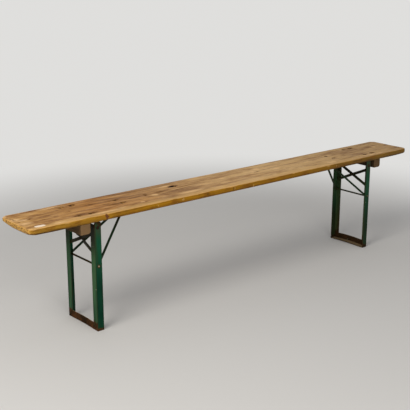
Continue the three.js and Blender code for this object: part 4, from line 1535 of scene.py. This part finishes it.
def makeBracket(s):
    top = underside - layout["hingeHeight"] - layout["gap"]
    radius, thick = s["earRadius"], s["thickness"]
    inner, gap, over, beyond = earOuter - thick, layout["gap"], 0.002, 0.003
    ear = [*arcOf(radius, math.pi, 2 * math.pi, 21), (radius, top), (-radius, top)]
    bracket = blockAlongY("bracket", ear, inner, earOuter)
    foot = rectangle(-s["innerReach"], s["outerReach"], s["footInner"], earOuter)
    foot = roundOutline(foot, [s["corner"]] * 4, 6)
    combine(bracket, blockAlongZ("foot", foot, top - thick, top), "UNION")
    y, z = earOuter - s["bend"], top - s["bend"]
    outside = [(earOuter + beyond, z), (earOuter + beyond, top + beyond), (y, top + beyond)]
    bend = outside + arcOf(s["bend"], math.pi / 2, 0, 9, y, z)
    combine(bracket, blockAlongX("bend", bend, -0.05, 0.05))
    hole, x, y = boltShape["radius"] + gap, s["boltOffset"], layout["boltRowY"]
    bored(bracket, hole, top - thick - over, top + over, x=x, y=y)
    bored(bracket, s["rivet"][0] + gap, -earOuter - over, -inner + over, rotated(90, "X"))
    return softenEdges(bracket, s["softness"], 1)


def makeHingeRivet(s):
    rivet = pin("rivet", *s["rivet"], earOuter - s["thickness"], layout["frameHalf"])
    return turnMesh(rivet, rotated(-90, "X"))


for endName, side in ends:
    for localSide in (-1, 1):
        edge = edgeName(localSide, side)
        place = endPlace(side) @ Matrix.Diagonal((1, localSide, 1, 1))
        name, node = f"{endName}{edge.capitalize()}", f"{endName}_{edge}_hinge"
        looks = ("steel", "seat", "dark_steel", f"{node}_bracket")
        placePiece(makeBracket(bracketShape), place, f"{name}Bracket", *looks)
        looks = ("rustySteel", "seat", "rusty_iron", f"{node}_rivet")
        placePiece(makeHingeRivet(bracketShape), place, f"{name}HingeRivet", *looks)
print("brackets and hinge rivets made")

# Spring catches: a plate with a bent lug, and a spring leaf.
catchShape = {
    "barRadius": 0.005,
    "plate": (-0.024, 0.042, 0.036),  # inner reach, outer reach, half width
    "plateThickness": 0.0025,
    "plateCorner": 0.008,
    "play": 0.0006,
    "lugWidth": 0.012,
    "lugThickness": 0.0025,
    "lugCorner": 0.002,
    "softness": 0.0004,
    "boltX": 0.009,
    "boltY": 0.025,
    "rivetX": 0.031,
    "rivetRadius": 0.002,
    "rivetHeadRadius": 0.004,
    "rivetHeadHeight": 0.0016,
    "leafWidth": 0.014,
    "leafThickness": 0.0012,
    "rootStart": 0.022,
    "rootLength": 0.017,
    "levelEnd": 0.012,
    "lipRise": 0.008,
    "tabReach": 0.016,
    "tabDrop": 0.010,
    "tabCorner": 0.005,
    "tabRounding": 0.9,
    "bendRadius": 0.0016,
    "leafStep": 0.0012,
}


def makeCatchPlate(s):
    inner, outer, half = s["plate"]
    gap, thick, wide = layout["gap"], s["plateThickness"], s["lugWidth"] / 2
    low = s["barRadius"] + gap
    outline = roundOutline(rectangle(inner, outer, -half, half), [s["plateCorner"]] * 4, 7)
    plate = blockAlongZ("plate", outline, low, low + thick)
    start, corner = s["barRadius"] + s["play"], s["lugCorner"]
    lug = rectangle(-wide, wide, -s["barRadius"], low + thick / 2)
    lug = roundOutline(lug, [corner, corner, 0, 0], 4)
    combine(plate, blockAlongX("lug", lug, start, start + s["lugThickness"]), "UNION")
    bolt, rivet = boltShape["radius"] + gap, s["rivetRadius"] + gap
    for radius, x, y in (
        (bolt, s["boltX"], -s["boltY"]), (bolt, s["boltX"], s["boltY"]), (rivet, s["rivetX"], 0),
    ):
        bored(plate, radius, low - 0.002, low + 0.005, x=x, y=y)
    return softenEdges(plate, s["softness"], 1)


def leafLine(s):
    thick, root = s["leafThickness"], s["rootStart"]
    rootZ = s["barRadius"] - thick / 2
    lip = level = -s["barRadius"] - s["play"] - thick / 2
    top = level + s["lipRise"]
    points = [
        (root + s["rootLength"], rootZ), (root, rootZ), (s["levelEnd"], level), (lip, level),
        (lip - thick, top), (lip - s["tabReach"], top - s["tabDrop"]),
    ]
    line = roundOutline(points, [0] + [s["bendRadius"]] * 4 + [0], 5)
    dense = [Vector(line[0])]
    for point in line[1:]:
        last, point = dense[-1], Vector(point)
        parts = max(1, round((point - last).length / s["leafStep"]))
        dense += [last.lerp(point, i / parts) for i in range(1, parts + 1)]
    return dense


def makeCatchLeaf(s):
    line = leafLine(s)
    thick, half, corner = s["leafThickness"], s["leafWidth"] / 2, s["tabCorner"]
    lengths = [0.0]
    for a, b in zip(line, line[1:]):
        lengths.append(lengths[-1] + (b - a).length)
    rings = []
    for i, point in enumerate(line):
        ahead = (line[min(i + 1, len(line) - 1)] - line[max(i - 1, 0)]).normalized()
        normal = Vector((-ahead.y, ahead.x)) * (thick / 2)
        left = min(lengths[-1] - lengths[i], corner)
        taken = corner - math.sqrt(corner ** 2 - (corner - left) ** 2)
        wide = half - taken * s["tabRounding"]
        low, high = point - normal, point + normal
        section = ((low, -wide), (high, -wide), (high, wide), (low, wide))
        rings.append([(p.x, y, p.y) for p, y in section])
    return bored(skin("leaf", rings), s["rivetRadius"] + layout["gap"], 0, 0.01, x=s["rivetX"])


def makeCatchRivet(s):
    top = s["barRadius"] + layout["gap"] + s["plateThickness"]
    rim, radius = s["barRadius"] - s["leafThickness"] - layout["gap"], s["rivetRadius"]
    head = dome(s["rivetHeadRadius"], rim, rim - s["rivetHeadHeight"], 5)[::-1]
    rivet = spun("rivet", [*head, (radius, rim), (radius, top), (0, top)], 20)
    return turnMesh(rivet, shifted(s["rivetX"], 0, 0))


for endName, side in ends:
    place = endPlace(side, layout["barHeight"], layout["catchX"])
    looks = ("steel", "seat", "dark_steel", f"{endName}_catch_plate")
    placePiece(makeCatchPlate(catchShape), place, f"{endName}CatchPlate", *looks)
    looks = ("rustySteel", "seat", "dark_steel", f"{endName}_catch_rivet")
    placePiece(makeCatchRivet(catchShape), place, f"{endName}CatchRivet", *looks)
    leaf = turnMesh(makeCatchLeaf(catchShape), place)
    leaf.name = f"{endName}CatchLeaf"
    paintWith(leaf, "spring")
    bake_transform(leaf)
    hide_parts(f"{endName}_catch_leaf")
print("catches made")

# Weld beads where the frame's pieces meet.
beadShape = {
    "width": 0.0040,
    "pitch": 0.0011,
    "height": 0.0018,
    "overlap": 2.6,  # a ripple's length, in pitches
    "least": 0.85,
    "most": 1.15,
}


def frameWelds():
    half, flange = layout["frameHalf"], layout["flange"]
    floor = -layout["hingeHeight"]
    outside, inside, tip = halfFlange - 0.0003, endInner + 0.0003, half - flange + 0.001
    under, low, high = sideInner + 0.0006, floor + 0.0034, floor + flange - 0.001
    lines = [
        [(outside, half - 0.003, floor + 0.003), (outside, tip, high)],
        [(inside, sideInner - 0.002, floor + 0.005), (inside, tip, high)],
        [(-halfFlange + 0.002, under, low), (endInner - 0.002, under, low)],
    ]
    return [[(x, side * y, z) for x, y, z in line] for side in (-1, 1) for line in lines]


def braceWelds(s):
    slope = math.atan2(s["rise"], 2 * layout["frameHalf"] - layout["flange"])
    inner = layout["frameHalf"] - layout["flange"] + 0.001
    outer = sideInner - s["endInset"] - 0.004
    rim = (s["width"] / 2 + 0.0004) / math.cos(slope)
    lines = []
    for side in (-1, 1):
        for tilt in (-1, 1):
            for edge in (-1, 1):
                middle = edge * rim - s["drop"]
                climb = tilt * side * math.tan(slope)
                ys = (inner, outer)
                lines.append([(endInner - 0.0002, side * y, middle + climb * y) for y in ys])
    return lines


for endName, side in ends:
    for what, lines, seed in (("Frame", frameWelds(), 3), ("Brace", braceWelds(braceShape), 9)):
        bead = weldBeads(f"{endName}{what}Welds", lines, beadShape, "foot", seed)
        turnMesh(bead, endPlace(side))
        dress(bead, "foot" if what == "Frame" else "brace", f"{endName}_frame", "rusty_iron")
print("weld beads made")

lightSettings = {
    "sky": (0.94, 0.96, 1.0),
    "skyStrength": 0.42,
    "backdrop": (0.74, 0.735, 0.72),
    "lamps": (
        ((-3.4, -1.0, 3.2), 2.4, 110, (1.0, 0.98, 0.94)),
        ((-1.8, -3.6, 2.4), 2.4, 45, (1.0, 1.0, 1.0)),
    ),
    "target": (0, 0, 0.3),
}
floorSettings = {
    "reach": 60.0,
    "colour": (0.60, 0.58, 0.55, 1),
    "far": (0.74, 0.735, 0.72, 1),  # the pale sweep behind, as the camera sees it
    "fade": (1.2, 2.7),  # distance from the bench over which the floor turns into it
    "roughness": 0.8,
}
shownRays = ("Is Camera Ray", "Is Glossy Ray", "Is Transmission Ray")


def makeLamps(s):
    for number, (place, size, power, colour) in enumerate(s["lamps"]):
        data = bpy.data.lights.new(f"softLamp{number}", "AREA")
        data.shape = "DISK"
        data.size, data.energy, data.color = size, power, colour
        lamp = addObject(f"softLamp{number}", data)
        lamp.location = place
        aim = Vector(s["target"]) - Vector(place)
        lamp.rotation_euler = aim.to_track_quat("-Z", "Y").to_euler()


def shownTo(tree):
    rays = addNode(tree, "ShaderNodeLightPath").outputs
    return strongest(*[Flow(rays[ray]) for ray in shownRays])


def makeWorld(s):
    world = bpy.data.worlds.new("studio")
    bpy.context.scene.world = world
    world.use_nodes = True
    tree = world.node_tree
    light = tree.nodes["Background"]
    light.inputs["Color"].default_value = (*s["sky"], 1)
    light.inputs["Strength"].default_value = s["skyStrength"]
    seen = flow(tree, "ShaderNodeBackground", 0, {"Color": (*s["backdrop"], 1), "Strength": 1.0})
    parts = {0: shownTo(tree), 1: Flow(light.outputs[0]), 2: seen}
    mixed = flow(tree, "ShaderNodeMixShader", 0, parts)
    plug(tree.nodes["World Output"].inputs["Surface"], mixed)


def makeFloor(s):
    reach = s["reach"]
    corners = [(x, y, 0) for x, y in rectangle(-reach, reach, -reach, reach)]
    floor = meshObject("floor", corners, [(0, 1, 2, 3)])
    material, shader, where, _ = newMaterial("paleFloor")
    tree = material.node_tree
    shader.inputs["Base Color"].default_value = s["colour"]
    shader.inputs["Roughness"].default_value = s["roughness"]
    share = shownTo(tree) * slide(vectorCalc("LENGTH", where), *s["fade"])
    sweep = flow(tree, "ShaderNodeEmission", 0, {"Color": s["far"], "Strength": 1.0})
    parts = {0: share, 1: Flow(shader.outputs[0]), 2: sweep}
    mixed = flow(tree, "ShaderNodeMixShader", 0, parts)
    plug(tree.nodes["Material Output"].inputs["Surface"], mixed)
    floor.data.materials.append(material)


makeLamps(lightSettings)
makeWorld(lightSettings)
makeFloor(floorSettings)
bpy.context.scene.view_settings.view_transform = "Standard"
print("studio lit")
